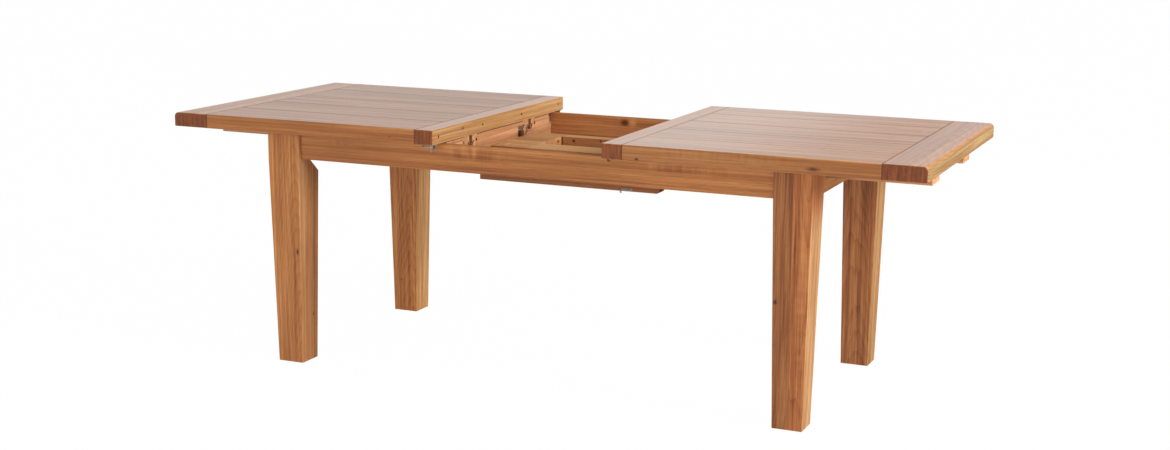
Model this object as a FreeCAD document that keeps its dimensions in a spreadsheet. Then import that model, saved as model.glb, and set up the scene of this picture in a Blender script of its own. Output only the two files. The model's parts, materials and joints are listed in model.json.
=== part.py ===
"""Extending dining table: two sliding half tops over a frame that stores a folding leaf.

Millimetres. +X runs along the length, +Y to the back, +Z up. The origin is on the floor under
the middle of the table. The table stands as it is with both half tops pulled out, so that the
gap for the leaf is open. Most pieces are built at the right and the back, where X and Y are
positive, and their twins are mirrored from them.
"""
import FreeCAD, Part
import os
import re

import Sketcher

# Driving dimensions. Each one is a cell of the sheet.
SIZES = {
    # half tops
    "table_height": 780,
    "top_thickness": 44,
    "top_width": 928,
    "half_length": 920,
    "leaf_opening": 540,
    "outer_end_width": 122,
    "inner_end_width": 60,
    "end_edge_radius": 14,
    "top_edge_radius": 4,
    "top_lower_radius": 3,
    "plank_chamfer": 0.8,
    # frame
    "frame_length": 1744,
    "side_overhang": 42,
    "slide_gap": 3,
    "leg_width": 112,
    "leg_foot_width": 88,
    "leg_block_height": 90,
    "leg_edge_radius": 3,
    "leg_cut": 58,
    "leg_cut_runout": 52,
    "apron_height": 80,
    "apron_thickness": 25,
    "apron_setback": 12,
    "cross_rail_thickness": 25,
    "cross_rail_setback": 7,
    "end_notch_width": 22,
    "end_notch_depth": 10,
    # corner braces and their bolts
    "brace_thickness": 25,
    "brace_lift": 5,
    "brace_gap": 4,
    "bolt_radius": 4,
    "bolt_length": 78,
    "bolt_tail": 3,
    "bolt_clearance": 0.3,
    "washer_radius": 10,
    "washer_thickness": 2,
    "nut_width": 13,
    "nut_height": 7,
    # runners and guides
    "runner_inset": 212,
    "runner_width": 90,
    "runner_height": 41,
    "runner_end_setback": 32,
    "groove_depth": 7,
    "groove_height": 9,
    "guide_width": 20,
    "guide_height": 27,
    "slide_clearance": 1,
    "tongue_clearance": 0.5,
    "stop_width": 40,
    "stop_height": 36,
    "stop_foot_height": 10,
    "stop_stem_width": 13,
    "stop_curl_width": 7,
    "stop_curl_height": 8,
    "stop_thickness": 5,
    "stop_clearance": 0.3,
    "glide_radius": 10,
    "glide_clearance": 0.3,
    "glide_inset": 65,
    # screws
    "screw_radius": 2.5,
    "screw_head_radius": 5,
    "screw_head_height": 3,
    "screw_clearance": 0.2,
    "runner_screw_bite": 24,
    "runner_screw_inset": 30,
    # alignment dowels
    "dowel_radius": 4,
    "dowel_length": 32,
    "dowel_reach": 12,
    "dowel_clearance": 0.25,
    "dowel_edge_inset": 39,
    "dowel_inner_spacing": 276,
    # stored leaf
    "leaf_fit": 0.5,
    "leaf_panel_thickness": 17,
    "leaf_batten_thickness": 27,
    "leaf_border_width": 114,
    "leaf_edge_batten_width": 52,
    "leaf_front_batten_width": 107,
    "leaf_front_step": 138.5,
    "leaf_offset": 20,
    "leaf_drop": 13,
    "hinge_cup_radius": 6,
    "hinge_cup_depth": 14,
    "hinge_link_width": 8,
    "hinge_link_thickness": 3,
    "hinge_spacing": 200,
    # catch that holds the folded leaf down
    "catch_inset": 22,
    "catch_width": 34,
    "catch_height": 33,
    "catch_lift": 3,
    "catch_thickness": 2,
    "catch_block_width": 18,
    "catch_block_height": 19,
    "catch_reach": 18,
    "catch_tongue_width": 10,
    # leaf cradles
    "cradle_thickness": 45,
    "cradle_spacing": 143,
    "cradle_foot": 18.5,
    "cradle_wall": 33,
    "cradle_corner_radius": 10,
    "cradle_screw_bite": 30,
    "cradle_screw_sink": 24,
    "cradle_clip_offset": 198,
    "cradle_clip_width": 36,
    "cradle_clip_height": 9,
    "cradle_clip_lift": 1.5,
    "cradle_clip_thickness": 1.5,
    "cradle_hook_wire": 2.4,
    "cradle_hook_length": 18,
    # clips that hold the half tops together
    "clip_inset": 20,
    "clip_setback": 11,
    "clip_length": 22,
    "clip_width": 15,
    "clip_thickness": 2,
    "clip_ear_height": 12,
    "clip_ear_thickness": 2,
    "clip_spur_height": 8,
    "clip_spur_width": 5,
    "bail_wire": 2.4,
    "bail_overreach": 12,
    "pivot_clearance": 0.08,
    "keeper_width": 5,
    "keeper_height": 7,
    "keeper_lip": 8,
    "keeper_thickness": 2,
    "clip_screw_margin": 4,
    "clip_screw_pitch": 7,
    "clip_screw_radius": 1.5,
    "clip_screw_length": 14,
}

# Places and sizes that follow from the driving dimensions. Each one is a formula of a cell.
PLACES = {
    "half_opening": "leaf_opening / 2",
    "outer_x": "half_opening + half_length",
    "half_top_y": "top_width / 2",
    "under_top": "table_height - top_thickness",
    "frame_top": "under_top - slide_gap",
    "plank_low_x": "half_opening + inner_end_width",
    "plank_high_x": "outer_x - outer_end_width",
    "leg_out_x": "frame_length / 2",
    "leg_out_y": "half_top_y - side_overhang",
    "leg_in_x": "leg_out_x - leg_width",
    "leg_in_y": "leg_out_y - leg_width",
    "leg_mid_x": "leg_out_x - leg_width / 2",
    "leg_mid_y": "leg_out_y - leg_width / 2",
    "leg_knee": "frame_top - leg_block_height",
    "apron_low": "frame_top - apron_height",
    "apron_face_y": "leg_out_y - apron_setback",
    "apron_back_y": "apron_face_y - apron_thickness",
    "apron_face_x": "leg_out_x - apron_setback",
    "apron_back_x": "apron_face_x - apron_thickness",
    "rail_face_x": "half_opening + cross_rail_setback",
    "rail_back_x": "rail_face_x + cross_rail_thickness",
    "cut_depth": "leg_cut / sqrt(2)",
    "runner_low": "under_top - runner_height",
    "brace_low": "apron_low + brace_lift",
    "brace_height": "runner_low - brace_gap - brace_low",
    "brace_mid": "brace_low + brace_height / 2",
    "brace_far": "leg_in_x + leg_in_y + leg_cut",
    "brace_near": "brace_far - brace_thickness * sqrt(2)",
    "corner_x": "leg_in_x + leg_cut / 2",
    "corner_y": "leg_in_y + leg_cut / 2",
    "bolt_back": "brace_thickness + washer_thickness + nut_height + bolt_tail",
    "runner_y": "leg_out_y - runner_inset",
    "runner_in_x": "rail_face_x - stop_clearance",
    "runner_out_x": "outer_x - runner_end_setback",
    "runner_side": "runner_y + runner_width / 2",
    "runner_inside": "runner_y - runner_width / 2",
    "slot_low": "runner_low - slide_clearance",
    "slot_side": "runner_side + slide_clearance",
    "slot_inside": "runner_inside - slide_clearance",
    "groove_mid": "runner_low + runner_height / 2",
    "groove_low": "groove_mid - groove_height / 2",
    "groove_high": "groove_mid + groove_height / 2",
    "tongue_reach": "groove_depth - tongue_clearance",
    "guide_low": "frame_top - guide_height",
    "stop_low": "under_top - stop_height",
    "glide_height": "slide_gap - glide_clearance",
    "dowel_z": "table_height - top_thickness / 2",
    "leaf_half_x": "half_opening - leaf_fit",
    "leaf_bottom": "fold_z - leaf_panel_thickness - leaf_batten_thickness",
    "leaf_top": "fold_z + leaf_panel_thickness + leaf_batten_thickness",
    "fold_z": "apron_low - leaf_drop",
    "leaf_front_y": "leaf_offset - half_top_y / 2",
    "leaf_back_y": "leaf_offset + half_top_y / 2",
    "batten_front_y": "leaf_front_y + leaf_front_step",
    "batten_back_y": "batten_front_y + leaf_front_batten_width",
    "edge_batten_y": "leaf_back_y - leaf_edge_batten_width",
    "catch_y": "runner_inside - catch_inset",
    "cradle_out_x": "half_opening + cradle_wall",
    "cradle_low": "leaf_bottom - cradle_foot",
    "cradle_y": "cradle_spacing / 2",
    "cradle_screw_x": "rail_face_x + cross_rail_thickness / 2",
    "clip_y": "half_top_y - clip_inset",
    "clip_low": "under_top - clip_thickness",
    "pivot_x": "half_opening + clip_setback",
    "pivot_z": "clip_low - clip_ear_height / 2",
    "keeper_x": "half_opening + clip_setback",
    "clip_tail": "2 * clip_screw_margin + clip_screw_pitch",
    "bail_length": "2 * clip_setback + bail_overreach",
}

PLANKS_PER_HALF = 5

doc = FreeCAD.newDocument("ExtendingTable")


def make_sheet(name, cells):
    """A sheet with a name in column A and its value, under the alias, in column B."""
    sheet = doc.addObject("Spreadsheet::Sheet", name)
    for row, (alias, content) in enumerate(cells.items(), start=1):
        sheet.set(f"A{row}", alias)
        sheet.set(f"B{row}", content)
        sheet.setAlias(f"B{row}", alias)
    return sheet


def ex(formula):
    """The formula with each name pointed at its cell."""
    def cell(match):
        name = match.group(0)
        sheet = "Sizes" if name in SIZES else "Places"
        return f"{sheet}.{name}"
    return re.sub(r"\b[a-z]\w*\b(?!\()", cell, formula)


sizes = make_sheet("Sizes", {alias: str(number) for alias, number in SIZES.items()})
places = make_sheet("Places", {alias: "=" + ex(formula) for alias, formula in PLACES.items()})
doc.recompute()


def value(formula):
    """What a formula comes to now."""
    return float(sizes.evalExpression(ex(formula)))


def bind(thing, **formulas):
    """Tie properties to the sheet. Underscores stand for dots."""
    for path, formula in formulas.items():
        thing.setExpression(path.replace("_", "."), ex(formula))
    return thing


def put(thing, x="0", y="0", z="0"):
    """Tie the place of a thing's own origin to the sheet."""
    return bind(thing, Placement_Base_x=x, Placement_Base_y=y, Placement_Base_z=z)


def box(name, x, y, z):
    """A box between two planes on each axis. x, y and z are pairs of formulas."""
    made = doc.addObject("Part::Box", name)
    lengths = [f"({high}) - ({low})" for low, high in (x, y, z)]
    bind(made, Length=lengths[0], Width=lengths[1], Height=lengths[2])
    return put(made, x[0], y[0], z[0])


def cylinder(name, radius, height, place, direction=(0, 0, 1)):
    """A cylinder from a point along a direction."""
    made = doc.addObject("Part::Cylinder", name)
    turn = FreeCAD.Rotation(FreeCAD.Vector(0, 0, 1), FreeCAD.Vector(*direction))
    made.Placement = FreeCAD.Placement(FreeCAD.Vector(), turn)
    bind(made, Radius=radius, Height=height)
    return put(made, *place)


def cone(name, low_radius, high_radius, height, place, direction=(0, 0, 1)):
    """A cone from a point along a direction."""
    made = doc.addObject("Part::Cone", name)
    turn = FreeCAD.Rotation(FreeCAD.Vector(0, 0, 1), FreeCAD.Vector(*direction))
    made.Placement = FreeCAD.Placement(FreeCAD.Vector(), turn)
    bind(made, Radius1=low_radius, Radius2=high_radius, Height=height)
    return put(made, *place)


def ball(name, radius, place):
    """A sphere about a point."""
    made = doc.addObject("Part::Sphere", name)
    bind(made, Radius=radius)
    return put(made, *place)


def fuse(name, pieces):
    """Pieces joined into one solid."""
    made = doc.addObject("Part::MultiFuse", name)
    made.Shapes = pieces
    made.Refine = True
    return made


def group(name, pieces):
    """Separate solids kept as one node."""
    made = doc.addObject("Part::Compound", name)
    made.Links = pieces
    return made


def cut(name, piece, tools):
    """A piece with material taken out."""
    made = doc.addObject("Part::Cut", name)
    made.Base = piece
    made.Tool = tools[0] if len(tools) == 1 else group(name + "_tools", tools)
    return made


def mirror(name, piece, axis):
    """A piece's twin on the other side of the table."""
    made = doc.addObject("Part::Mirroring", name)
    made.Source = piece
    made.Normal = FreeCAD.Vector(1, 0, 0) if axis == "x" else FreeCAD.Vector(0, 1, 0)
    return made


def sketch_on(body, name, role, corners, height="0"):
    """A closed outline of straight sides, each corner held at its place by two formulas."""
    sketch = body.newObject("Sketcher::SketchObject", name)
    planes = {plane.Role: plane for plane in body.Origin.OriginFeatures}
    sketch.AttachmentSupport = (planes[role], [""])
    sketch.MapMode = "FlatFace"
    bind(sketch, AttachmentOffset_Base_z=height)
    spots = [FreeCAD.Vector(value(x), value(y), 0) for x, y in corners]
    count = len(spots)
    for index in range(count):
        sketch.addGeometry(Part.LineSegment(spots[index], spots[(index + 1) % count]))
    for index in range(count):
        sketch.addConstraint(Sketcher.Constraint("Coincident", index, 2, (index + 1) % count, 1))
    for index, corner in enumerate(corners):
        for kind, formula in zip(("DistanceX", "DistanceY"), corner):
            rule = Sketcher.Constraint(kind, -1, 1, index, 1, value(formula))
            number = sketch.addConstraint(rule)
            sketch.setExpression(f"Constraints[{number}]", ex(formula))
    return sketch


def pad(name, role, corners, thickness, x="0", y="0", z="0"):
    """A body padded both ways from an outline on one of its origin planes."""
    body = doc.addObject("PartDesign::Body", name)
    sketch = sketch_on(body, name + "_outline", role, corners)
    feature = body.newObject("PartDesign::Pad", name + "_pad")
    feature.Profile = sketch
    feature.SideType = "Symmetric"
    bind(feature, Length=thickness)
    put(body, x, y, z)
    doc.recompute()
    return body


def rectangle(x, y):
    """The corners of a rectangle from a pair of formulas on each axis."""
    return [(x[0], y[0]), (x[1], y[0]), (x[1], y[1]), (x[0], y[1])]


def soften(body, kind, size, wanted):
    """Round or chamfer the edges of a body that a test picks out."""
    before = body.Tip
    shape = before.Shape
    names = [f"Edge{number}" for number, edge in enumerate(shape.Edges, start=1) if wanted(edge)]
    feature = body.newObject(f"PartDesign::{kind}", f"{body.Name}_{kind.lower()}")
    feature.Base = (before, names)
    bind(feature, **{"Radius" if kind == "Fillet" else "Size": size})
    doc.recompute()
    return body


def span(edge):
    """An edge's lengths along X, Y and Z."""
    bounds = edge.BoundBox
    return bounds.XLength, bounds.YLength, bounds.ZLength


def runs_along(edge, axis):
    """Whether an edge runs along one axis only."""
    lengths = span(edge)
    return lengths[axis] > 0.1 and all(lengths[other] < 0.1 for other in range(3) if other != axis)


# Half tops -------------------------------------------------------------------------------------

def end_board(name, x):
    """A board across the end of a half top, centred on its own length along Y."""
    width = f"({x[1]}) - ({x[0]})"
    outline = rectangle((f"-({width}) / 2", f"({width}) / 2"), ("-half_top_y", "half_top_y"))
    middle = f"(({x[0]}) + ({x[1]})) / 2"
    return pad(name, "XY_Plane", outline, "top_thickness", x=middle, z="dowel_z")


def outer_end_board():
    board = end_board("outer_board_blank", ("plank_high_x", "outer_x"))
    half_x = value("outer_end_width") / 2
    half_y = value("half_top_y")
    half_z = value("top_thickness") / 2
    soften(board, "Fillet", "end_edge_radius",
           lambda edge: (runs_along(edge, 1) and edge.CenterOfMass.x > 0
                         and edge.CenterOfMass.z > 0))
    soften(board, "Fillet", "top_edge_radius",
           lambda edge: (abs(edge.CenterOfMass.y) > half_y - 0.1
                         and edge.CenterOfMass.x > 0.1 - half_x
                         and edge.CenterOfMass.z > 0.1 - half_z))
    return soften(board, "Fillet", "top_lower_radius",
                  lambda edge: (edge.CenterOfMass.z < 0.1 - half_z
                                and edge.CenterOfMass.x > 0.1 - half_x))


def plank(number):
    """One of the planks of a half top, counted from the front."""
    width = f"top_width / {PLANKS_PER_HALF}"
    outline = rectangle((f"-({width}) / 2", f"({width}) / 2"),
                        ("-top_thickness / 2", "top_thickness / 2"))
    middle = f"({number} + 0.5) * {width} - half_top_y"
    length = "plank_high_x - plank_low_x"
    body = pad(f"plank_blank_{number}", "YZ_Plane", outline, length,
               x="(plank_low_x + plank_high_x) / 2", y=middle, z="dowel_z")
    outer = -1 if number == 0 else 1 if number == PLANKS_PER_HALF - 1 else 0
    half = value(width) / 2
    soften(body, "Chamfer", "plank_chamfer",
           lambda edge: (runs_along(edge, 0) and edge.CenterOfMass.z > 0
                         and abs(edge.CenterOfMass.y - outer * half) > 0.1))
    if outer:
        soften(body, "Fillet", "top_edge_radius",
               lambda edge: (runs_along(edge, 0) and edge.CenterOfMass.z > 0
                             and abs(edge.CenterOfMass.y - outer * half) < 0.1))
        soften(body, "Fillet", "top_lower_radius",
               lambda edge: (runs_along(edge, 0) and edge.CenterOfMass.z < 0
                             and abs(edge.CenterOfMass.y - outer * half) < 0.1))
    return body


def inner_end_board():
    board = end_board("inner_board_blank", ("half_opening", "plank_low_x"))
    half_y = value("half_top_y")
    soften(board, "Fillet", "top_edge_radius",
           lambda edge: (runs_along(edge, 0) and edge.CenterOfMass.z > 0
                         and abs(edge.CenterOfMass.y) > half_y - 0.1))
    return soften(board, "Fillet", "top_lower_radius",
                  lambda edge: (runs_along(edge, 0) and edge.CenterOfMass.z < 0
                                and abs(edge.CenterOfMass.y) > half_y - 0.1))


DOWEL_PLACES = ["half_top_y - dowel_edge_inset", "dowel_inner_spacing / 2",
                "-dowel_inner_spacing / 2", "dowel_edge_inset - half_top_y"]


def dowel_holes(name, radius, depth):
    """Blind holes for the dowels in the inner face of the right half top."""
    return [cylinder(f"{name}_{number}", radius, depth, ("half_opening", y, "dowel_z"), (1, 0, 0))
            for number, y in enumerate(DOWEL_PLACES)]


RUNNER_SCREW_PLACES = ["half_opening + inner_end_width / 2",
                       "(plank_low_x + plank_high_x) / 2",
                       "runner_out_x - runner_screw_inset"]


def screw_hole(name, x, y, length):
    """A hole with a countersink, up from the underside of a runner."""
    gap = "screw_clearance"
    shank = cylinder(name + "_shank", f"screw_radius + {gap}", length, (x, y, "runner_low"))
    head = cone(name + "_sink", f"screw_head_radius + {gap}", f"screw_radius + {gap}",
                f"screw_head_height + {gap}", (x, y, "runner_low"))
    return [shank, head]


def runner_screw(name, x, y):
    """A countersunk screw from a runner up into the half top."""
    length = "runner_height + runner_screw_bite"
    shank = cylinder(name + "_shank", "screw_radius", length, (x, y, "runner_low"))
    head = cone(name + "_head", "screw_head_radius", "screw_radius", "screw_head_height",
                (x, y, "runner_low"))
    return fuse(name, [shank, head])


def bite_holes(name, x, rows):
    """Holes for the runner screws in the underside of a half top."""
    length = "runner_height + runner_screw_bite + screw_clearance"
    return [cylinder(f"{name}_{number}", "screw_radius + screw_clearance", length,
                     (x, y, "runner_low")) for number, y in enumerate(rows)]


def clip_holes(name, x, y):
    """Two pilot holes for the screws of a clip plate or keeper."""
    return [cylinder(f"{name}_{number}", "clip_screw_radius + screw_clearance / 2",
                     "clip_screw_length + screw_clearance", (place, y, "clip_low"))
            for number, place in enumerate(clip_screw_places(x))]


def clip_screw_places(x):
    """The screws of a clip stand at the outer end of its plate, one behind the other."""
    first = f"{x} + clip_length / 2 + clip_screw_margin"
    return [first, f"{first} + clip_screw_pitch"]


def build_half_tops():
    """The two half tops. The right one holds the dowels and the left one takes them."""
    nodes = {}
    rows = ["runner_y", "-runner_y"]
    outer = cut("outer_board", outer_end_board(),
                bite_holes("outer_bite", RUNNER_SCREW_PLACES[2], rows))
    nodes["right_top_outer_end_board"] = outer
    nodes["left_top_outer_end_board"] = mirror("outer_board_left", outer, "x")

    inner = cut("inner_board", inner_end_board(),
                bite_holes("inner_bite", RUNNER_SCREW_PLACES[0], rows)
                + [hole for row, y in enumerate(("clip_y", "-clip_y"))
                   for hole in clip_holes(f"clip_pilot_{row}", "keeper_x", y)])
    right = cut("inner_board_right", inner,
                dowel_holes("dowel_seat", "dowel_radius", "dowel_length - dowel_reach"))
    left = cut("inner_board_left_twin", inner,
               dowel_holes("dowel_socket", "dowel_radius + dowel_clearance",
                           "dowel_reach + 2 * top_edge_radius"))
    nodes["right_top_inner_end_board"] = right
    nodes["left_top_inner_end_board"] = mirror("inner_board_left", left, "x")

    dowels = [cylinder(f"dowel_{number}", "dowel_radius", "dowel_length",
                       ("half_opening - dowel_reach", y, "dowel_z"), (1, 0, 0))
              for number, y in enumerate(DOWEL_PLACES)]
    nodes["alignment_dowels"] = group("dowels", dowels)

    for number in range(PLANKS_PER_HALF):
        blank = plank(number)
        row = {1: "-runner_y", 3: "runner_y"}.get(number)
        if row:
            blank = cut(f"plank_{number}", blank,
                        bite_holes(f"plank_bite_{number}", RUNNER_SCREW_PLACES[1], [row]))
        nodes[f"right_top_plank_{number + 1}"] = blank
        nodes[f"left_top_plank_{number + 1}"] = mirror(f"plank_left_{number}", blank, "x")
    return nodes


# Runners ---------------------------------------------------------------------------------------

def runner_outline():
    """A runner's section about its own middle, with a groove in each side."""
    side = "runner_width / 2"
    deep = "(runner_width / 2 - groove_depth)"
    half = "runner_height / 2"
    lip = "groove_height / 2"
    right = [(side, f"-{half}"), (side, f"-{lip}"), (deep, f"-{lip}"),
             (deep, lip), (side, lip), (side, half)]
    left = [(f"-{y}", z) for y, z in reversed(right)]
    return right + left


def stop_outline():
    """An anchor shape: a stem, and a foot whose tips curl up."""
    stem = "stop_stem_width / 2"
    foot = "stop_width / 2"
    curl = "(stop_width / 2 - stop_curl_width)"
    shoulder = "stop_foot_height"
    tip = "(stop_foot_height + stop_curl_height)"
    right = [(foot, "0"), (foot, tip), (curl, tip), (curl, shoulder), (stem, shoulder),
             (stem, "stop_height")]
    left = [(f"-{y}", z) for y, z in reversed(right)]
    return right + left


def build_runners():
    nodes = {}
    middle = "(runner_in_x + runner_out_x) / 2"
    blank = pad("runner_blank", "YZ_Plane", runner_outline(), "runner_out_x - runner_in_x",
                x=middle, y="runner_y", z="groove_mid")
    holes = [tool for number, x in enumerate(RUNNER_SCREW_PLACES)
             for tool in screw_hole(f"runner_hole_{number}", x, "runner_y",
                                    "runner_height + screw_clearance")]
    runner = cut("runner", blank, holes)
    stop = pad("stop_plate", "YZ_Plane", stop_outline(), "stop_thickness",
               x="runner_in_x - stop_thickness / 2", y="runner_y", z="stop_low")
    screws = [runner_screw(f"runner_screw_{number}", x, "runner_y")
              for number, x in enumerate(RUNNER_SCREW_PLACES)]
    back = group("runner_screws_back_half", screws)
    front = mirror("runner_screws_front_half", back, "y")
    stop_front = mirror("stop_front", stop, "y")
    nodes["right_runner_screws"] = group("runner_screws_right", [back, front])
    nodes["left_runner_screws"] = mirror("runner_screws_left", nodes["right_runner_screws"], "x")
    nodes["right_runner_stops"] = group("stops_right", [stop, stop_front])
    nodes["left_runner_stops"] = mirror("stops_left", nodes["right_runner_stops"], "x")
    nodes["right_runner_back"] = runner
    nodes["right_runner_front"] = mirror("runner_front", runner, "y")
    nodes["left_runner_back"] = mirror("runner_left_back", runner, "x")
    nodes["left_runner_front"] = mirror("runner_left_front", nodes["right_runner_front"], "x")
    return nodes


# Frame -----------------------------------------------------------------------------------------

def leg_blank():
    """A leg that is square at the top and tapers on all four sides to the foot."""
    body = doc.addObject("PartDesign::Body", "leg_blank")

    def square(name, side, height):
        half = f"{side} / 2"
        outline = rectangle((f"-{half}", half), (f"-{half}", half))
        return sketch_on(body, name, "XY_Plane", outline, height)

    foot = square("leg_foot", "leg_foot_width", "0")
    knee = square("leg_knee", "leg_width", "leg_knee")
    loft = body.newObject("PartDesign::AdditiveLoft", "leg_taper")
    loft.Profile = foot
    loft.Sections = [knee]
    head = square("leg_head", "leg_width", "leg_knee")
    block = body.newObject("PartDesign::Pad", "leg_block")
    block.Profile = head
    bind(block, Length="leg_block_height")
    put(body, "leg_mid_x", "leg_mid_y")
    doc.recompute()
    return soften(body, "Fillet", "leg_edge_radius", lambda edge: span(edge)[2] > 1)


def leg_corner_tool():
    """What the inner corner of a leg loses: a straight cut above, and a sloped run-out below."""
    outward = FreeCAD.Vector(-1, -1, 0).normalize()
    sideways = FreeCAD.Vector(0, 0, 1).cross(outward)
    turn = FreeCAD.Rotation(outward, sideways, FreeCAD.Vector(0, 0, 1), "XYZ")
    straight = doc.addObject("Part::Wedge", "corner_straight")
    runout = doc.addObject("Part::Wedge", "corner_runout")
    for wedge, low_depth, low, high in ((straight, "cut_depth", "apron_low", "frame_top + 1"),
                                        (runout, "0", "apron_low - leg_cut_runout", "apron_low")):
        # the wedge's own Y is turned to point up
        stand = FreeCAD.Rotation(turn.multVec(FreeCAD.Vector(1, 0, 0)), FreeCAD.Vector(0, 0, 1),
                                 turn.multVec(FreeCAD.Vector(0, -1, 0)), "XYZ")
        wedge.Placement = FreeCAD.Placement(FreeCAD.Vector(), stand)
        bind(wedge, Xmin=f"-({low_depth})", Xmax="leg_cut", X2min="-cut_depth", X2max="leg_cut",
             Ymin="0", Ymax=f"({high}) - ({low})", Zmin="-leg_cut", Zmax="leg_cut",
             Z2min="-leg_cut", Z2max="leg_cut")
        put(wedge, "leg_in_x", "leg_in_y", low)
    return fuse("corner_tool", [straight, runout])


def brace_blank():
    """A board across the corner, its two ends flat on the aprons."""
    outline = [("brace_far - apron_back_y", "apron_back_y"),
               ("brace_near - apron_back_y", "apron_back_y"),
               ("apron_back_x", "brace_near - apron_back_x"),
               ("apron_back_x", "brace_far - apron_back_x")]
    return pad("brace_blank", "XY_Plane", outline, "brace_height", z="brace_mid")


def along_corner(distance):
    """A point on the diagonal through a leg's cut corner, this far in from the cut face."""
    step = f"({distance}) / sqrt(2)"
    return (f"corner_x - {step}", f"corner_y - {step}", "brace_mid")


def build_corner():
    """The leg, brace, bolt, washer and nut of the right back corner."""
    outwards = (1, 1, 0)
    bolt = cylinder("bolt", "bolt_radius", "bolt_length", along_corner("bolt_back"), outwards)
    leg_hole = cylinder("leg_hole", "bolt_radius", "bolt_length", along_corner("bolt_back"),
                        outwards)
    brace_hole = cylinder("brace_hole", "bolt_radius + bolt_clearance", "bolt_length",
                          along_corner("bolt_back"), outwards)
    washer_disc = cylinder("washer_disc", "washer_radius", "washer_thickness",
                           along_corner("brace_thickness + washer_thickness"), outwards)
    washer_hole = cylinder("washer_hole", "bolt_radius + bolt_clearance", "bolt_length",
                           along_corner("bolt_back"), outwards)
    nut_prism = doc.addObject("Part::Prism", "nut_prism")
    nut_prism.Polygon = 6
    turn = FreeCAD.Rotation(FreeCAD.Vector(0, 0, 1), FreeCAD.Vector(*outwards))
    nut_prism.Placement = FreeCAD.Placement(FreeCAD.Vector(), turn)
    bind(nut_prism, Circumradius="nut_width / sqrt(3)", Height="nut_height")
    put(nut_prism, *along_corner("brace_thickness + washer_thickness + nut_height"))
    nut_bore = cylinder("nut_bore", "bolt_radius", "bolt_length", along_corner("bolt_back"),
                        outwards)
    return {
        "leg": cut("leg", leg_blank(), [leg_corner_tool(), leg_hole]),
        "brace": cut("brace", brace_blank(), [brace_hole]),
        "bolt": bolt,
        "washer": cut("washer", washer_disc, [washer_hole]),
        "nut": cut("nut", nut_prism, [nut_bore]),
    }


def four_corners(name, piece):
    """A piece of the right back corner and its three twins, by corner."""
    right_front = mirror(name + "_right_front", piece, "y")
    return {
        ("right", "back"): piece,
        ("right", "front"): right_front,
        ("left", "back"): mirror(name + "_left_back", piece, "x"),
        ("left", "front"): mirror(name + "_left_front", right_front, "x"),
    }


def runner_slots(name, x):
    """The two slots that let the runners through a board across the frame."""
    rows = (("slot_inside", "slot_side"), ("-slot_side", "-slot_inside"))
    return [box(f"{name}_{number}", x, y, ("slot_low", "frame_top + 1"))
            for number, y in enumerate(rows)]


def build_frame():
    nodes = {}
    corner = build_corner()
    for (side, depth), piece in four_corners("leg", corner["leg"]).items():
        nodes[f"leg_{depth}_{side}"] = piece
    for (side, depth), piece in four_corners("brace", corner["brace"]).items():
        nodes[f"corner_brace_{depth}_{side}"] = piece
    nodes["leg_bolts"] = group("leg_bolts", list(four_corners("bolt", corner["bolt"]).values()))
    nuts = list(four_corners("nut", corner["nut"]).values())
    washers = list(four_corners("washer", corner["washer"]).values())
    nodes["leg_nuts_and_washers"] = group("leg_nuts", nuts + washers)

    long_apron = box("long_apron", ("-leg_in_x", "leg_in_x"), ("apron_back_y", "apron_face_y"),
                     ("apron_low", "frame_top"))
    nodes["apron_back"] = long_apron
    nodes["apron_front"] = mirror("long_apron_front", long_apron, "y")

    end_x = ("apron_back_x", "apron_face_x")
    end_blank = box("end_blank", end_x, ("-leg_in_y", "leg_in_y"), ("apron_low", "frame_top"))
    end_apron = cut("end_apron", end_blank, runner_slots("end_slot", end_x))
    nodes["apron_right"] = end_apron
    nodes["apron_left"] = mirror("end_apron_left", end_apron, "x")

    rail_x = ("rail_face_x", "rail_back_x")
    rail_blank = box("rail_blank", rail_x, ("-apron_back_y", "apron_back_y"),
                     ("apron_low", "frame_top"))
    notch_z = ("frame_top - end_notch_depth", "frame_top + 1")
    notches = [box("notch_back", rail_x, ("apron_back_y - end_notch_width", "apron_back_y"),
                   notch_z),
               box("notch_front", rail_x, ("-apron_back_y", "end_notch_width - apron_back_y"),
                   notch_z)]
    pilots = [cylinder(f"rail_pilot_{number}", "screw_radius + screw_clearance",
                       "cradle_screw_bite + screw_clearance", ("cradle_screw_x", y, "apron_low"))
              for number, y in enumerate(("cradle_y", "-cradle_y"))]
    cross_rail = cut("cross_rail", rail_blank, runner_slots("rail_slot", rail_x) + notches + pilots)
    nodes["cross_rail_right"] = cross_rail
    nodes["cross_rail_left"] = mirror("cross_rail_left", cross_rail, "x")
    return nodes


def guide_outline():
    """A guide rail's section beside the runner, its tongue in the runner's groove."""
    tongue_low = "groove_low + tongue_clearance"
    tongue_high = "groove_high - tongue_clearance"
    tip = "runner_side - tongue_reach"
    return [("slot_side", "guide_low"), ("slot_side + guide_width", "guide_low"),
            ("slot_side + guide_width", "frame_top"), ("slot_side", "frame_top"),
            ("slot_side", tongue_high), (tip, tongue_high), (tip, tongue_low),
            ("slot_side", tongue_low)]


def inner_guide_outline():
    """The same section on the other side of the runner."""
    return [(f"2 * runner_y - ({y})", z) for y, z in reversed(guide_outline())]


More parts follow.
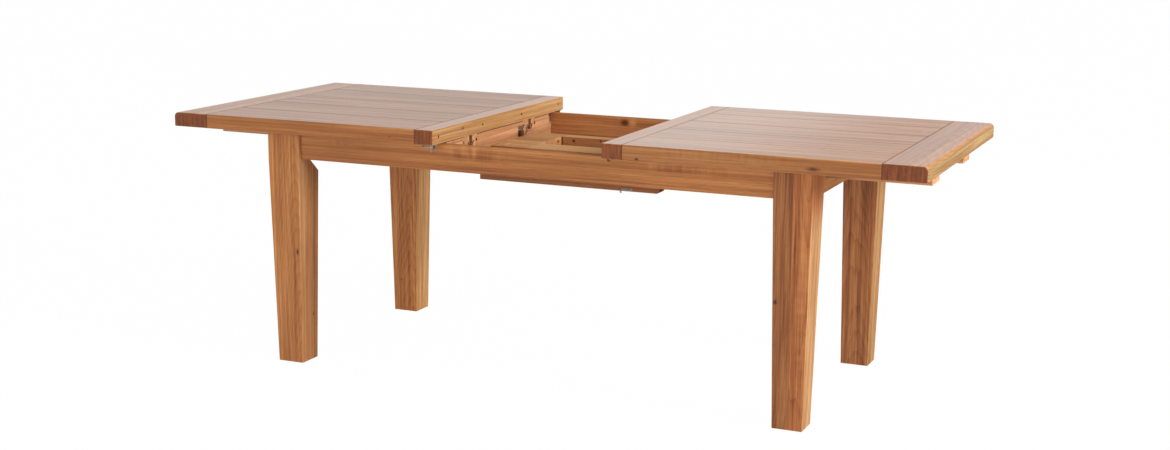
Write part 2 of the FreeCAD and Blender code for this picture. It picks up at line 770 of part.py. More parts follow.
def build_guides():
    nodes = {}
    length = "apron_back_x - rail_back_x"
    middle = "(apron_back_x + rail_back_x) / 2"
    outside = pad("guide_outside", "YZ_Plane", guide_outline(), length, x=middle)
    inside = pad("guide_inside", "YZ_Plane", inner_guide_outline(), length, x=middle)
    back = group("guides_back", [outside, inside])
    front = mirror("guides_front", back, "y")
    nodes["right_guide_rails_back"] = back
    nodes["right_guide_rails_front"] = front
    nodes["left_guide_rails_back"] = mirror("guides_left_back", back, "x")
    nodes["left_guide_rails_front"] = mirror("guides_left_front", front, "x")

    pads = [cylinder("glide_leg", "glide_radius", "glide_height",
                     ("leg_mid_x", "leg_mid_y", "frame_top")),
            cylinder("glide_rail", "glide_radius", "glide_height",
                     ("cradle_screw_x", "apron_back_y - glide_inset", "frame_top"))]
    rows = []
    for number, piece in enumerate(pads):
        rows += list(four_corners(f"glide_{number}", piece).values())
    nodes["top_glides"] = group("glides", rows)
    return nodes


# Stored leaf and its cradles -------------------------------------------------------------------

HINGE_PLACES = ["-hinge_spacing", "0", "hinge_spacing"]


def hinge_cups(name, radius):
    """The round mortises of the leaf's hinges, three in the front edge of each half."""
    rows = ("fold_z + leaf_panel_thickness / 2", "fold_z - leaf_panel_thickness / 2")
    return [[cylinder(f"{name}_{row}_{number}", radius, "hinge_cup_depth",
                      (x, "leaf_front_y", z), (0, 1, 0))
             for number, x in enumerate(HINGE_PLACES)] for row, z in enumerate(rows)]


def leaf_frame(name, z):
    """Two battens along a leaf half, and a board across each end between them."""
    along = ("-leaf_half_x", "leaf_half_x")
    inner_x = "leaf_half_x - leaf_border_width"
    between = ("batten_back_y", "edge_batten_y")
    return group(name, [
        box(f"{name}_front", along, ("batten_front_y", "batten_back_y"), z),
        box(f"{name}_back", along, ("edge_batten_y", "leaf_back_y"), z),
        box(f"{name}_right", (inner_x, "leaf_half_x"), between, z),
        box(f"{name}_left", ("-leaf_half_x", f"-({inner_x})"), between, z)])


def build_leaf():
    """The folding leaf, closed like a book with its two top faces together."""
    nodes = {}
    x = ("-leaf_half_x", "leaf_half_x")
    y = ("leaf_front_y", "leaf_back_y")
    upper_cups, lower_cups = hinge_cups("cup", "hinge_cup_radius")
    upper = box("leaf_upper_blank", x, y, ("fold_z", "fold_z + leaf_panel_thickness"))
    lower = box("leaf_lower_blank", x, y, ("fold_z - leaf_panel_thickness", "fold_z"))
    nodes["leaf_upper_panel"] = cut("leaf_upper_panel", upper, upper_cups)
    nodes["leaf_lower_panel"] = cut("leaf_lower_panel", lower, lower_cups)
    nodes["leaf_upper_battens"] = leaf_frame("upper_battens",
                                             ("fold_z + leaf_panel_thickness", "leaf_top"))
    nodes["leaf_lower_battens"] = leaf_frame("lower_battens",
                                             ("leaf_bottom", "fold_z - leaf_panel_thickness"))
    barrels_up, barrels_down = hinge_cups("barrel", "hinge_cup_radius")
    hinges = []
    for number, place in enumerate(HINGE_PLACES):
        link = box(f"link_{number}", (f"{place} - hinge_link_width / 2",
                                      f"{place} + hinge_link_width / 2"),
                   ("leaf_front_y - hinge_link_thickness", "leaf_front_y"),
                   ("fold_z - leaf_panel_thickness / 2", "fold_z + leaf_panel_thickness / 2"))
        hinges.append(fuse(f"hinge_{number}", [barrels_up[number], barrels_down[number], link]))
    nodes["leaf_hinges"] = group("leaf_hinges", hinges)
    return nodes


def build_catch():
    """A spring catch on the left cross rail: back plate, block, arm and tongue."""
    back = ("-rail_face_x", "catch_thickness - rail_face_x")
    front = "catch_reach - rail_face_x"
    low = "leaf_top + catch_lift"
    high = f"{low} + catch_height"
    edge = "catch_y + catch_width / 2"
    tongue_y = (f"{edge} - catch_tongue_width", edge)
    pieces = [
        box("catch_plate", back, (f"{edge} - catch_width", edge), (low, high)),
        box("catch_block", ("-rail_face_x", f"{front} - 2 * catch_thickness"),
            (f"{edge} - catch_width", f"{edge} - catch_width + catch_block_width"),
            (low, f"{low} + catch_block_height")),
        box("catch_arm", ("-rail_face_x", front), tongue_y,
            (f"{high} - catch_thickness", high)),
        box("catch_tongue", (f"{front} - catch_thickness", front), tongue_y, (low, high)),
    ]
    return {"leaf_catch": fuse("leaf_catch", pieces)}


def build_cradles():
    """Two boards that hang under the cross rails and carry the folded leaf."""
    nodes = {}
    outline = [("-cradle_out_x", "cradle_low"), ("cradle_out_x", "cradle_low"),
               ("cradle_out_x", "apron_low"), ("half_opening", "apron_low"),
               ("half_opening", "leaf_bottom"), ("-half_opening", "leaf_bottom"),
               ("-half_opening", "apron_low"), ("-cradle_out_x", "apron_low")]
    blank = pad("cradle_blank", "XZ_Plane", outline, "cradle_thickness", y="cradle_y")
    low = value("cradle_low")
    out = value("cradle_out_x")
    soften(blank, "Fillet", "cradle_corner_radius",
           lambda edge: (runs_along(edge, 1) and abs(edge.CenterOfMass.z - low) < 0.1
                         and abs(edge.CenterOfMass.x - out) < 0.1))
    holes = []
    screws = []
    seat = "cradle_low + cradle_screw_sink"
    for number, x in enumerate(("cradle_screw_x", "-cradle_screw_x")):
        place = (x, "cradle_y", seat)
        shank_length = f"apron_low - ({seat}) + cradle_screw_bite"
        holes += [cylinder(f"cradle_hole_{number}", "screw_radius + screw_clearance",
                           shank_length, place),
                  cylinder(f"cradle_sink_{number}", "screw_head_radius + screw_clearance",
                           "cradle_screw_sink + 1", (x, "cradle_y", "cradle_low - 1"))]
        shank = cylinder(f"cradle_shank_{number}", "screw_radius", shank_length, place)
        head = cylinder(f"cradle_head_{number}", "screw_head_radius", "screw_head_height",
                        (x, "cradle_y", f"{seat} - screw_head_height"))
        screws.append(fuse(f"cradle_screw_{number}", [shank, head]))
    cradle = cut("cradle", blank, holes)
    back_screws = group("cradle_screws_back", screws)
    nodes["leaf_cradle_back"] = cradle
    nodes["leaf_cradle_front"] = mirror("cradle_front", cradle, "y")
    nodes["cradle_screws"] = group("cradle_screws",
                                   [back_screws, mirror("cradle_screws_front", back_screws, "y")])
    nodes["cradle_clip"] = cradle_clip()
    return nodes


def cradle_clip():
    """A plate on the face of the front cradle, with a wire hook that slopes down from it."""
    face = "-(cradle_y + cradle_thickness / 2)"
    low_z = "cradle_low + cradle_clip_lift"
    left = "cradle_clip_offset - cradle_clip_width / 2"
    plate = box("cradle_clip_plate", (left, f"{left} + cradle_clip_width"),
                (f"{face} - cradle_clip_thickness", face), (low_z, f"{low_z} + cradle_clip_height"))
    wire_y = f"{face} - cradle_clip_thickness - cradle_hook_wire / 4"
    start = (f"{left} + cradle_clip_height", wire_y, f"{low_z} + cradle_clip_height / 2")
    wire = cylinder("cradle_hook", "cradle_hook_wire / 2", "cradle_hook_length", start,
                    (-0.8, 0, -0.6))
    end = (f"{start[0]} - 0.8 * cradle_hook_length", wire_y,
           f"{start[2]} - 0.6 * cradle_hook_length")
    tips = [ball("cradle_hook_start", "cradle_hook_wire / 2", start),
            ball("cradle_hook_end", "cradle_hook_wire / 2", end)]
    return fuse("cradle_clip", [plate, wire] + tips)


# Clips that hold the two half tops together ----------------------------------------------------

def plate_with_screws(name, holes):
    """The flat plate of a clip or keeper, about the keeper's place at the right back."""
    long_plate = box(f"{name}_plate", ("keeper_x - clip_length / 2",
                                       "keeper_x + clip_length / 2 + clip_tail"),
                     ("clip_y - clip_width / 2", "clip_y + clip_width / 2"),
                     ("clip_low", "under_top"))
    return cut(f"{name}_drilled", long_plate, holes)


def clip_screws(name):
    """Two small pan head screws up through a plate."""
    made = []
    for number, x in enumerate(clip_screw_places("keeper_x")):
        shank = cylinder(f"{name}_shank_{number}", "clip_screw_radius",
                         "clip_screw_length", (x, "clip_y", "clip_low"))
        head = cylinder(f"{name}_head_{number}", "2 * clip_screw_radius", "clip_screw_radius",
                        (x, "clip_y", "clip_low - clip_screw_radius"))
        made.append(fuse(f"{name}_{number}", [shank, head]))
    return group(name, made)


def build_keepers():
    """The hooks under the right half top."""
    plate = plate_with_screws("keeper", clip_holes("keeper_pilot", "keeper_x", "clip_y"))
    y = ("clip_y - keeper_width / 2", "clip_y + keeper_width / 2")
    stem = box("keeper_stem", ("keeper_x - keeper_thickness / 2",
                               "keeper_x + keeper_thickness / 2"), y,
               ("clip_low - keeper_height", "clip_low"))
    lip = box("keeper_lip", ("keeper_x - keeper_thickness / 2", "keeper_x + keeper_lip"), y,
              ("clip_low - keeper_height", "clip_low - keeper_height + keeper_thickness"))
    keeper = fuse("keeper", [plate, stem, lip])
    screws = clip_screws("keeper_screw")
    return {
        "clip_keepers": group("keepers", [keeper, mirror("keeper_front", keeper, "y")]),
        "right_clip_screws": group("keeper_screws",
                                   [screws, mirror("keeper_screws_front", screws, "y")]),
    }


def clip_plate():
    """A plate with two ears that carry the bail, each with a spur below it."""
    plate = plate_with_screws("clip", clip_holes("plate_pilot", "keeper_x", "clip_y"))
    ears = []
    for number, sign in enumerate((-1, 1)):
        edge = f"clip_y + {sign} * clip_width / 2"
        inner = f"clip_y + {sign} * (clip_width / 2 - clip_ear_thickness)"
        rows = (edge, inner) if sign < 0 else (inner, edge)
        ear = box(f"clip_ear_{number}", ("pivot_x - clip_ear_height / 2",
                                         "pivot_x + clip_ear_height / 2"), rows,
                  ("clip_low - clip_ear_height", "clip_low"))
        spur = box(f"clip_spur_{number}", ("pivot_x - clip_spur_width / 2",
                                           "pivot_x + clip_spur_width / 2"), rows,
                   ("clip_low - clip_ear_height - clip_spur_height",
                    "clip_low - clip_ear_height"))
        ears += [ear, spur]
    bore = cylinder("clip_bore", "bail_wire / 2 + pivot_clearance", "2 * clip_width",
                    ("pivot_x", "clip_y - clip_width", "pivot_z"), (0, 1, 0))
    return cut("clip_plate", fuse("clip_eared", [plate] + ears), [bore])


def clip_bail():
    """A wire bail folded away from the gap: a pivot pin, two arms and a cross bar."""
    wire = "bail_wire / 2"
    outside = "(clip_width / 2 + bail_wire)"
    far = "pivot_x + bail_length"
    pieces = [cylinder("bail_pin", wire, f"2 * {outside}",
                       ("pivot_x", f"clip_y - {outside}", "pivot_z"), (0, 1, 0)),
              cylinder("bail_bar", wire, f"2 * {outside}",
                       (far, f"clip_y - {outside}", "pivot_z"), (0, 1, 0))]
    for number, sign in enumerate((-1, 1)):
        y = f"clip_y + {sign} * {outside}"
        pieces.append(cylinder(f"bail_arm_{number}", wire, "bail_length",
                               ("pivot_x", y, "pivot_z"), (1, 0, 0)))
        pieces.append(ball(f"bail_bend_{number}", wire, ("pivot_x", y, "pivot_z")))
        pieces.append(ball(f"bail_corner_{number}", wire, (far, y, "pivot_z")))
    return fuse("bail", pieces)


def build_clips():
    """The clips under the left half top, and their keepers."""
    nodes = build_keepers()
    plate = clip_plate()
    screws = clip_screws("clip_screw")
    bail = clip_bail()
    right_plates = group("clip_plates_right", [plate, mirror("clip_plate_front", plate, "y")])
    right_screws = group("clip_screws_right", [screws, mirror("clip_screws_front", screws, "y")])
    nodes["clip_plates"] = mirror("clip_plates", right_plates, "x")
    nodes["left_clip_screws"] = mirror("clip_screws", right_screws, "x")
    nodes["clip_bail_back"] = mirror("bail_back", bail, "x")
    nodes["clip_bail_front"] = mirror("bail_front", nodes["clip_bail_back"], "y")
    return nodes


# The whole table -------------------------------------------------------------------------------

nodes = {}
for build in (build_half_tops, build_runners, build_frame, build_guides, build_leaf,
              build_catch, build_cradles, build_clips):
    nodes.update(build())
for node, piece in nodes.items():
    piece.Label = node
doc.recompute()

for piece in doc.Objects:
    if "Invalid" in piece.State or "Error" in piece.State:
        raise RuntimeError(f"{piece.Label} did not build: {piece.State}")
for node, piece in nodes.items():
    if piece.Shape.isNull() or not piece.Shape.isValid() or not piece.Shape.Solids:
        raise RuntimeError(f"{node} has no valid solid")

os.makedirs("parts", exist_ok=True)
for node, piece in nodes.items():
    piece.Shape.exportStep(os.path.join("parts", f"{node}.step"))
print(f"{len(nodes)} nodes, {sum(len(piece.Shape.Solids) for piece in nodes.values())} solids")
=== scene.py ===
"""Looks for the extending dining table: lacquered oak boards, steel fittings, a plain studio."""
import json
import math
import random

import bmesh
import bpy
from mathutils import Matrix, Vector

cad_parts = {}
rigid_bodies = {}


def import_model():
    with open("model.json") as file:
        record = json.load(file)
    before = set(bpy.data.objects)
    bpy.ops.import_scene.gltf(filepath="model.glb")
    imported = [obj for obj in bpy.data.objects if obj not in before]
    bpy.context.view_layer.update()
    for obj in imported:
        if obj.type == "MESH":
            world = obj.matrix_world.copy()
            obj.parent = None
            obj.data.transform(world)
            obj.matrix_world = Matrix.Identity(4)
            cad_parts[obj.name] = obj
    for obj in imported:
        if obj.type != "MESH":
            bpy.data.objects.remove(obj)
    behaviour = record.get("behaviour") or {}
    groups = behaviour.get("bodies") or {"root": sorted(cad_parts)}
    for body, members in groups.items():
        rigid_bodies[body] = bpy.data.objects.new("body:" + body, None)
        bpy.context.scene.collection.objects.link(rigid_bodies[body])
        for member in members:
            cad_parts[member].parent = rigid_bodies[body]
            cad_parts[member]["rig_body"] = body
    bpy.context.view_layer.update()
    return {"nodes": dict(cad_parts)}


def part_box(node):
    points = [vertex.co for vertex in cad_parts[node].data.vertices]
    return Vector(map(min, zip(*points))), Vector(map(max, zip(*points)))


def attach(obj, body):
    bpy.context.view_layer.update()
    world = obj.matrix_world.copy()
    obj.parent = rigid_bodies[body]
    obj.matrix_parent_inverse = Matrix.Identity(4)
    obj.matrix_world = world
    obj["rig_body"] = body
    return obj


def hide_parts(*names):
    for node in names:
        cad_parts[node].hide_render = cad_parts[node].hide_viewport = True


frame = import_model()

MM = 0.001
X, Y, Z = 0, 1, 2

# Camera and studio
CAMERA_PLACE = (2.1001, -4.7758, 1.4826)
CAMERA_YAW = -23.55
CAMERA_PITCH = 11.31
CAMERA_ROLL = 0.49
CAMERA_LENS = 51.95
SKY_STRENGTH = 0.66
SKY_TOP_SHARE = 0.40
SKY_FADE = (0.0, 0.85)
SIDE_STRENGTH = 0.60
SIDE_RISE = (0.1, 0.95)
KEY_PLACE = (6.0, -1.0, 2.6)
KEY_TARGET = (0.6, 0, 0.5)
KEY_SIZE = 2.4
KEY_POWER = 350
FILL_PLACE = (-0.8, -5.6, 1.0)
FILL_TARGET = (0, 0, 0.5)
FILL_SIZE = 3.2
FILL_POWER = 100
LAMP_COLOUR = (1.0, 0.98, 0.96)
FLOOR_SIZE = 400
FLOOR_COLOUR = (0.93, 0.93, 0.93)
FLOOR_GLOW_SHARE = 0.992

# Easing of the edges: the sawn ones of a board, and the finer ones of small fittings
EASE_WIDTH = 0.9 * MM
STEEL_EASE = 0.35 * MM
HINGE_EASE = 0.4 * MM
GLIDE_EASE = 0.6 * MM
EASE_SEGMENTS = 2
EASE_ANGLE = 40
WELD_REACH = 0.02 * MM


# Nodes as Python maths -------------------------------------------------------------------------

class Signal:
    """One socket of a node tree. Arithmetic on it adds Math nodes."""

    def __init__(self, nodes, socket):
        self.nodes = nodes
        self.socket = socket

    def math(self, operation, *terms):
        return self.nodes.node("ShaderNodeMath", {"operation": operation}, *terms)

    def __add__(self, other):
        return self.math("ADD", self, other)

    def __radd__(self, other):
        return self.math("ADD", other, self)

    def __sub__(self, other):
        return self.math("SUBTRACT", self, other)

    def __rsub__(self, other):
        return self.math("SUBTRACT", other, self)

    def __mul__(self, other):
        return self.math("MULTIPLY", self, other)

    def __rmul__(self, other):
        return self.math("MULTIPLY", other, self)

    def __pow__(self, other):
        return self.math("POWER", self, other)

    def __abs__(self):
        return self.math("ABSOLUTE", self)

    def fract(self):
        return self.math("FRACT", self)

    def root(self):
        return self.math("SQRT", self)

    def most(self, other):
        return self.math("MAXIMUM", self, other)

    def smooth(self, low, high):
        """0 below low and 1 above high, with a soft step between. low may be above high."""
        return self.nodes.node("ShaderNodeMapRange", {"interpolation_type": "SMOOTHSTEP"},
                               self, low, high, 0.0, 1.0)


class Nodes:
    """A node tree under construction."""

    def __init__(self, tree):
        self.tree = tree
        self.tree.nodes.clear()

    def feed(self, socket, given):
        if isinstance(given, Signal):
            self.tree.links.new(given.socket, socket)
        else:
            socket.default_value = given

    def node(self, kind, settings=None, *values, out=0, **named):
        """Any node: its settings first, then its sockets in order or by name."""
        made = self.tree.nodes.new(kind)
        for key, setting in (settings or {}).items():
            if key == "stops":
                set_stops(made.color_ramp, setting)
            else:
                setattr(made, key, setting)
        for socket, given in zip(made.inputs, values):
            self.feed(socket, given)
        for key, given in named.items():
            self.feed(made.inputs[key.replace("_", " ")], given)
        return Signal(self, made.outputs[out]) if made.outputs else None

    def parts(self, vector):
        """The three components of a vector."""
        split = self.node("ShaderNodeSeparateXYZ", None, vector).socket.node
        return [Signal(self, socket) for socket in split.outputs]

    def seen(self):
        """1 for a ray from the camera, or one that a mirror or glass sends on."""
        kinds = ("Is Camera Ray", "Is Glossy Ray", "Is Transmission Ray")
        rays = [self.node("ShaderNodeLightPath", None, out=kind) for kind in kinds]
        return rays[0].most(rays[1]).most(rays[2])


def set_stops(ramp, stops):
    """Gives a colour ramp its stops, each a place and a colour."""
    while len(ramp.elements) > 1:
        ramp.elements.remove(ramp.elements[-1])
    for index, (where, colour) in enumerate(stops):
        element = ramp.elements[0] if index == 0 else ramp.elements.new(where)
        element.position = where
        element.color = colour


class Paint(Nodes):
    """A material under construction."""

    def __init__(self, name):
        self.material = bpy.data.materials.new(name)
        self.material.use_nodes = True
        super().__init__(self.material.node_tree)

    def place(self):
        return self.node("ShaderNodeTexCoord", None, out="Object")

    def stir(self, place, scale, offset, detail=2.0, roughness=0.5):
        """Noise, stretched by a scale on each axis."""
        spot = self.node("ShaderNodeMapping", None, place, Location=offset, Scale=scale)
        return self.node("ShaderNodeTexNoise", None, Vector=spot, Scale=1.0, Detail=detail,
                         Roughness=roughness)

    def near(self, place, centre, radii):
        """1 at a spot's centre, falling to 0 at its radii."""
        spot = self.node("ShaderNodeMapping", {"vector_type": "TEXTURE"}, place,
                         Location=centre, Scale=radii)
        reach = self.node("ShaderNodeVectorMath", {"operation": "LENGTH"}, spot, out="Value")
        return reach.smooth(1.0, 0.0)

    def ramp(self, factor, stops):
        return self.node("ShaderNodeValToRGB", {"stops": stops}, factor)

    def mix(self, factor, first, second, blend="MIX"):
        """Two colours mixed."""
        made = self.tree.nodes.new("ShaderNodeMix")
        made.data_type = "RGBA"
        made.blend_type = blend
        made.clamp_factor = True
        for index, given in ((0, factor), (6, first), (7, second)):
            self.feed(made.inputs[index], given)
        return Signal(self, made.outputs[2])

    def bump(self, height, distance, strength=1.0):
        return self.node("ShaderNodeBump", None, Height=height, Distance=distance,
                         Strength=strength)

    def finish(self, **sockets):
        """The shader itself, and the material's output."""
        shader = self.node("ShaderNodeBsdfPrincipled", None, **sockets)
        self.node("ShaderNodeOutputMaterial", None, shader)
        return self.material


class Recipe(Nodes):
    """A Geometry Nodes tree under construction, with named inputs for its sizes."""

    def __init__(self, name, labels):
        self.group = bpy.data.node_groups.new(name, "GeometryNodeTree")
        super().__init__(self.group)
        face = self.group.interface
        face.new_socket("Geometry", in_out="INPUT", socket_type="NodeSocketGeometry")
        for label in labels:
            face.new_socket(label, in_out="INPUT", socket_type="NodeSocketFloat")
        face.new_socket("Geometry", in_out="OUTPUT", socket_type="NodeSocketGeometry")
        self.given = self.group.nodes.new("NodeGroupInput")

    def input(self, label):
        return Signal(self, self.given.outputs[label])

    def join(self, *shapes):
        made = self.tree.nodes.new("GeometryNodeJoinGeometry")
        for shape in shapes:
            self.tree.links.new(shape.socket, made.inputs[0])
        return Signal(self, made.outputs[0])

    def move(self, shape, place=(0, 0, 0), turn=(0, 0, 0), scale=(1, 1, 1)):
        return self.node("GeometryNodeTransform", None, shape, Translation=place, Rotation=turn,
                         Scale=scale)

    def vector(self, x=0.0, y=0.0, z=0.0):
        return self.node("ShaderNodeCombineXYZ", None, x, y, z)

    def finish(self, shape, material):
        """Real geometry with its material, and the tree's output."""
        real = self.node("GeometryNodeRealizeInstances", None, shape)
        painted = self.node("GeometryNodeSetMaterial", None, real, Material=material)
        self.node("NodeGroupOutput", None, painted)
        return self.group


def opaque(colour):
    return (*colour, 1.0)


def scaled(colour, factor):
    return tuple(channel * factor for channel in colour)


# Wood ------------------------------------------------------------------------------------------

PALE = (0.600, 0.272, 0.094)
MIDDLE = (0.410, 0.155, 0.042)
DEEP = (0.205, 0.058, 0.017)
# PORE also darkens the seams and the lines of painted shade. KNOT also darkens the spots of
# painted shade that are drawn like a knot.
PORE = (0.110, 0.030, 0.009)
KNOT = (0.062, 0.019, 0.008)
END_PALE = (0.238, 0.056, 0.014)
END_DEEP = (0.060, 0.012, 0.004)
MIDDLE_STOP = 0.48
END_STOPS = (0.34, 0.66)
MEAN_DARKNESS = 0.46

# Growth rings about the heart of the log, which runs up to PITH_ASIDE millimetres to one side of
# a board's centre and between PITH_DEPTHS millimetres above or below it
RING_SPACING = 3.6 * MM
RING_WANDER = 30 * MM
RING_SWAY = 44 * MM
PITH_ASIDE = 60
PITH_DEPTHS = (45, 110)
PITH_TILT = 0.05
KNOT_SWIRL = 4.0
KNOT_REACH = 1.6

# Marks of the grain: length along the fibres and width across them, in metres, then the detail
# and the roughness of their noise
WANDER = (0.60, 0.11)
SWAY = (1.10, 0.20)
RAGGED_RINGS = (0.90, 0.016)
LINES = (0.42, 0.0065, 3.0, 0.62)
STREAKS = (1.10, 0.024, 3.0, 0.55)
BANDS = (1.60, 0.10, 1.0)
FIBRES = (0.09, 0.0016, 3.0, 0.6)
PORES = (0.032, 0.0010, 1.0)
CURLS = (0.018, 0.075, 2.0)

# The rays in a cut end, by their scale on each axis
RAY_SCALE = (110, 110, 9)
RAY_OFFSET = (3.0, 5.0, 7.0)

SEAM_AND_SHADE_LINE_WIDTH = 2.2 * MM
STAVE_BLEND = 0.2 * MM
STAVE_SHIFT = 0.43
RELIEF_DEPTH = 0.22 * MM
RELIEF_STRENGTH = 0.45
LACQUER_IOR = 1.38
LACQUER_ROUGHNESS = 0.38
SIDE_ROUGHNESS = 0.55
JOINT_ROUGHNESS = 0.5
COAT_IOR = 1.5
COAT_ROUGHNESS = 0.30

# How squarely a face looks along an axis where its own looks start, and where they are full
FACE_STEP = (0.6, 0.9)
DULL_STEP = (0.5, 0.9)
COAT_STEP = (0.80, 0.98)


def stretched(grain, along, across):
    """A scale with one value along the grain and another across it."""
    return tuple(along if axis == grain else across for axis in range(3))


def wood(name, grain, centre, tone=1.0, tint=(1.0, 1.0, 1.0), pith=None, tilt=None, knots=(),
         washes=(), staves=(), seams=(), veins=(), figures=(), walls=(), contrast=1.0,
         flat_contrast=None, cathedral=1.0, rings=1.0, ends=0.88, sheen=None):
    """Lacquered oak with its growth rings, fibres and pores in depth.

    grain is the axis that the fibres follow. pith is where the heart of the log runs, across the
    grain from the board's centre, and tilt is how it strays along the board. tone and tint are
    the board's own colour. contrast is the strength of its marks, and flat_contrast the strength
    on the faces that look up.
    knots and figures are (place, radii, strength); the first are knot cores, and also dark spots
    of painted shade in shadowed corners, drawn the same way. washes, where the wood is paler or
    deeper, are (place, radii, strength, colour). staves are (axis, place, tone) steps where glued
    laths change, seams are (axis, place) planes where a board meets the next, and also dark lines
    of painted shade along a shadowed gap or corner, and veins are (axis, place, width, strength)
    dark lines.
    walls are (axis, tint) for the faces that look along an axis: painted light and shade, a colour
    of their own for the faces that a lamp lights more or less, with the two heights between which
    the tint comes in, if it does not hold all over. ends is how much of the end grain's colour the
    cut ends show. sheen is the weight of the coat on the faces that look up, what it loses along
    X, and the two places between which it does.
    """
    dice = random.Random(name)
    paint = Paint(name)
    place = still = paint.place()
    comps = paint.parts(place)
    facing = paint.parts(paint.node("ShaderNodeTexCoord", None, out="Normal"))
    across = [axis for axis in range(3) if axis != grain]
    pith = pith or (dice.uniform(-PITH_ASIDE, PITH_ASIDE) * MM,
                    dice.choice((-1, 1)) * dice.uniform(*PITH_DEPTHS) * MM)
    tilt = tilt or (dice.uniform(-PITH_TILT, PITH_TILT), dice.uniform(-PITH_TILT, PITH_TILT))

    shade = tone
    along = comps[grain]
    for axis, spot, change in staves:
        step = comps[axis].smooth(spot - STAVE_BLEND, spot + STAVE_BLEND)
        shade = step * change + shade
        along = along + step * STAVE_SHIFT
    if staves:
        shifted = [along if axis == grain else comps[axis] for axis in range(3)]
        place = paint.node("ShaderNodeCombineXYZ", None, *shifted)

    def noise(length, width, detail=2.0, rough=0.5):
        """Noise about 0, with one feature length along the grain and another across it."""
        offset = tuple(dice.uniform(-40, 40) for _ in range(3))
        return paint.stir(place, stretched(grain, 1 / length, 1 / width), offset, detail,
                          rough) - 0.5

    # Rings
    wander = noise(*WANDER)
    sway = noise(*SWAY)
    first, second = (
        comps[axis] - (centre[axis] + pith[index]) + (along - centre[grain]) * tilt[index]
        for index, axis in enumerate(across))
    first = first + wander * RING_WANDER
    second = second + sway * RING_SWAY
    depth = (first * first + second * second).root()
    phase = depth * (rings / RING_SPACING) + noise(*RAGGED_RINGS) * 0.9
    core = None
    # Knot cores, and also dark spots of painted shade in shadowed corners drawn the same way.
    for spot, radii, strength in knots:
        swirl = paint.near(still, spot, scaled(radii, KNOT_SWIRL))
        here = paint.near(still, spot, scaled(radii, KNOT_REACH)) * strength
        phase = phase + (swirl ** 2.0) * KNOT_SWIRL
        core = here if core is None else core.most(here)
    ring = phase.fract()
    late = (ring ** 3.0) - 0.25

    # Marks along the grain
    lines = noise(*LINES)
    streak = noise(*STREAKS)
    band = noise(*BANDS)
    fibre = noise(*FIBRES)
    pores = noise(*PORES).smooth(0.11, 0.22)
    grain_mark = late * (0.20 * cathedral) + lines * 1.35 + streak * 0.95 + fibre * 0.45
    if flat_contrast:
        contrast = facing[Z].smooth(*FACE_STEP) * (flat_contrast - contrast) + contrast
    darkness = grain_mark * contrast + band * 0.6 + MEAN_DARKNESS
    for spot, radii, strength in figures:
        darkness = darkness + noise(*CURLS) * strength * paint.near(still, spot, radii)
    for axis, spot, width, strength in veins:
        off = abs(comps[axis] - spot + sway * (18 * MM) + lines * (6 * MM))
        darkness = darkness + off.smooth(width, 0.0) * strength

    # Colour
    colour = paint.ramp(darkness, [(0.0, opaque(PALE)), (MIDDLE_STOP, opaque(MIDDLE)),
                                   (1.0, opaque(DEEP))])
    colour = paint.mix(pores * (ring.smooth(0.8, 0.1) * 0.35 + 0.15), colour, opaque(PORE))
    if core:
        colour = paint.mix(core.smooth(0.02, 0.30) * 0.45, colour, opaque(DEEP))
        colour = paint.mix(core.smooth(0.30, 0.75) * 0.85, colour, opaque(KNOT))
    for spot, radii, strength, wash in washes:
        colour = paint.mix(paint.near(still, spot, radii) * strength, colour, opaque(wash))
    rays = paint.stir(place, RAY_SCALE, RAY_OFFSET, 3.0, 0.6)
    cut_face = paint.ramp(rays, list(zip(END_STOPS, (opaque(END_PALE), opaque(END_DEEP)))))
    colour = paint.mix(abs(facing[grain]).smooth(*FACE_STEP) * ends, colour, cut_face)
    joints_and_shade_lines = None
    # Seams where boards meet, and also dark lines of painted shade along shadowed gaps and
    # corners.
    for axis, spot in seams:
        line = abs(comps[axis] - spot).smooth(SEAM_AND_SHADE_LINE_WIDTH, 0.3 * SEAM_AND_SHADE_LINE_WIDTH)
        joints_and_shade_lines = line if joints_and_shade_lines is None else joints_and_shade_lines.most(line)
    if joints_and_shade_lines:
        colour = paint.mix(joints_and_shade_lines * 0.85, colour, opaque(PORE))
    # Painted light and shade: the faces that look along an axis get a tint of their own, paler or
    # darker as a lamp falls on them, coming in between two heights where given.
    for axis, light_and_shade_tint, *heights in walls:
        wall = abs(facing[axis]).smooth(*FACE_STEP)
        if heights:
            wall = wall * comps[Z].smooth(*heights)
        colour = paint.mix(wall, colour, opaque(light_and_shade_tint), "MULTIPLY")
    level = paint.node("ShaderNodeCombineXYZ", None, *(shade * channel for channel in tint))
    colour = paint.mix(1.0, colour, level, "MULTIPLY")

    # Gloss and relief
    relief = paint.bump(fibre * 0.4 + late * 0.3 - pores * 0.6, RELIEF_DEPTH, RELIEF_STRENGTH)
    dull = abs(facing[X]) if sheen else abs(facing[X]).most(facing[Z])
    gloss = fibre * 0.10 + pores * 0.12 + LACQUER_ROUGHNESS
    gloss = gloss + dull.smooth(*DULL_STEP) * SIDE_ROUGHNESS
    if joints_and_shade_lines:
        gloss = gloss + joints_and_shade_lines * JOINT_ROUGHNESS
    coat = 0.0
    if sheen:
        weight, loss, start, stop = sheen
        coat = facing[Z].smooth(*COAT_STEP) * (weight - comps[X].smooth(start, stop) * loss)
        if joints_and_shade_lines:
            coat = coat * (1.0 - joints_and_shade_lines * 0.8)
    return paint.finish(Base_Color=colour, Roughness=gloss, Normal=relief, IOR=LACQUER_IOR,
                        Coat_Weight=coat, Coat_IOR=COAT_IOR, Coat_Roughness=COAT_ROUGHNESS)


# Metal and plastic -----------------------------------------------------------------------------

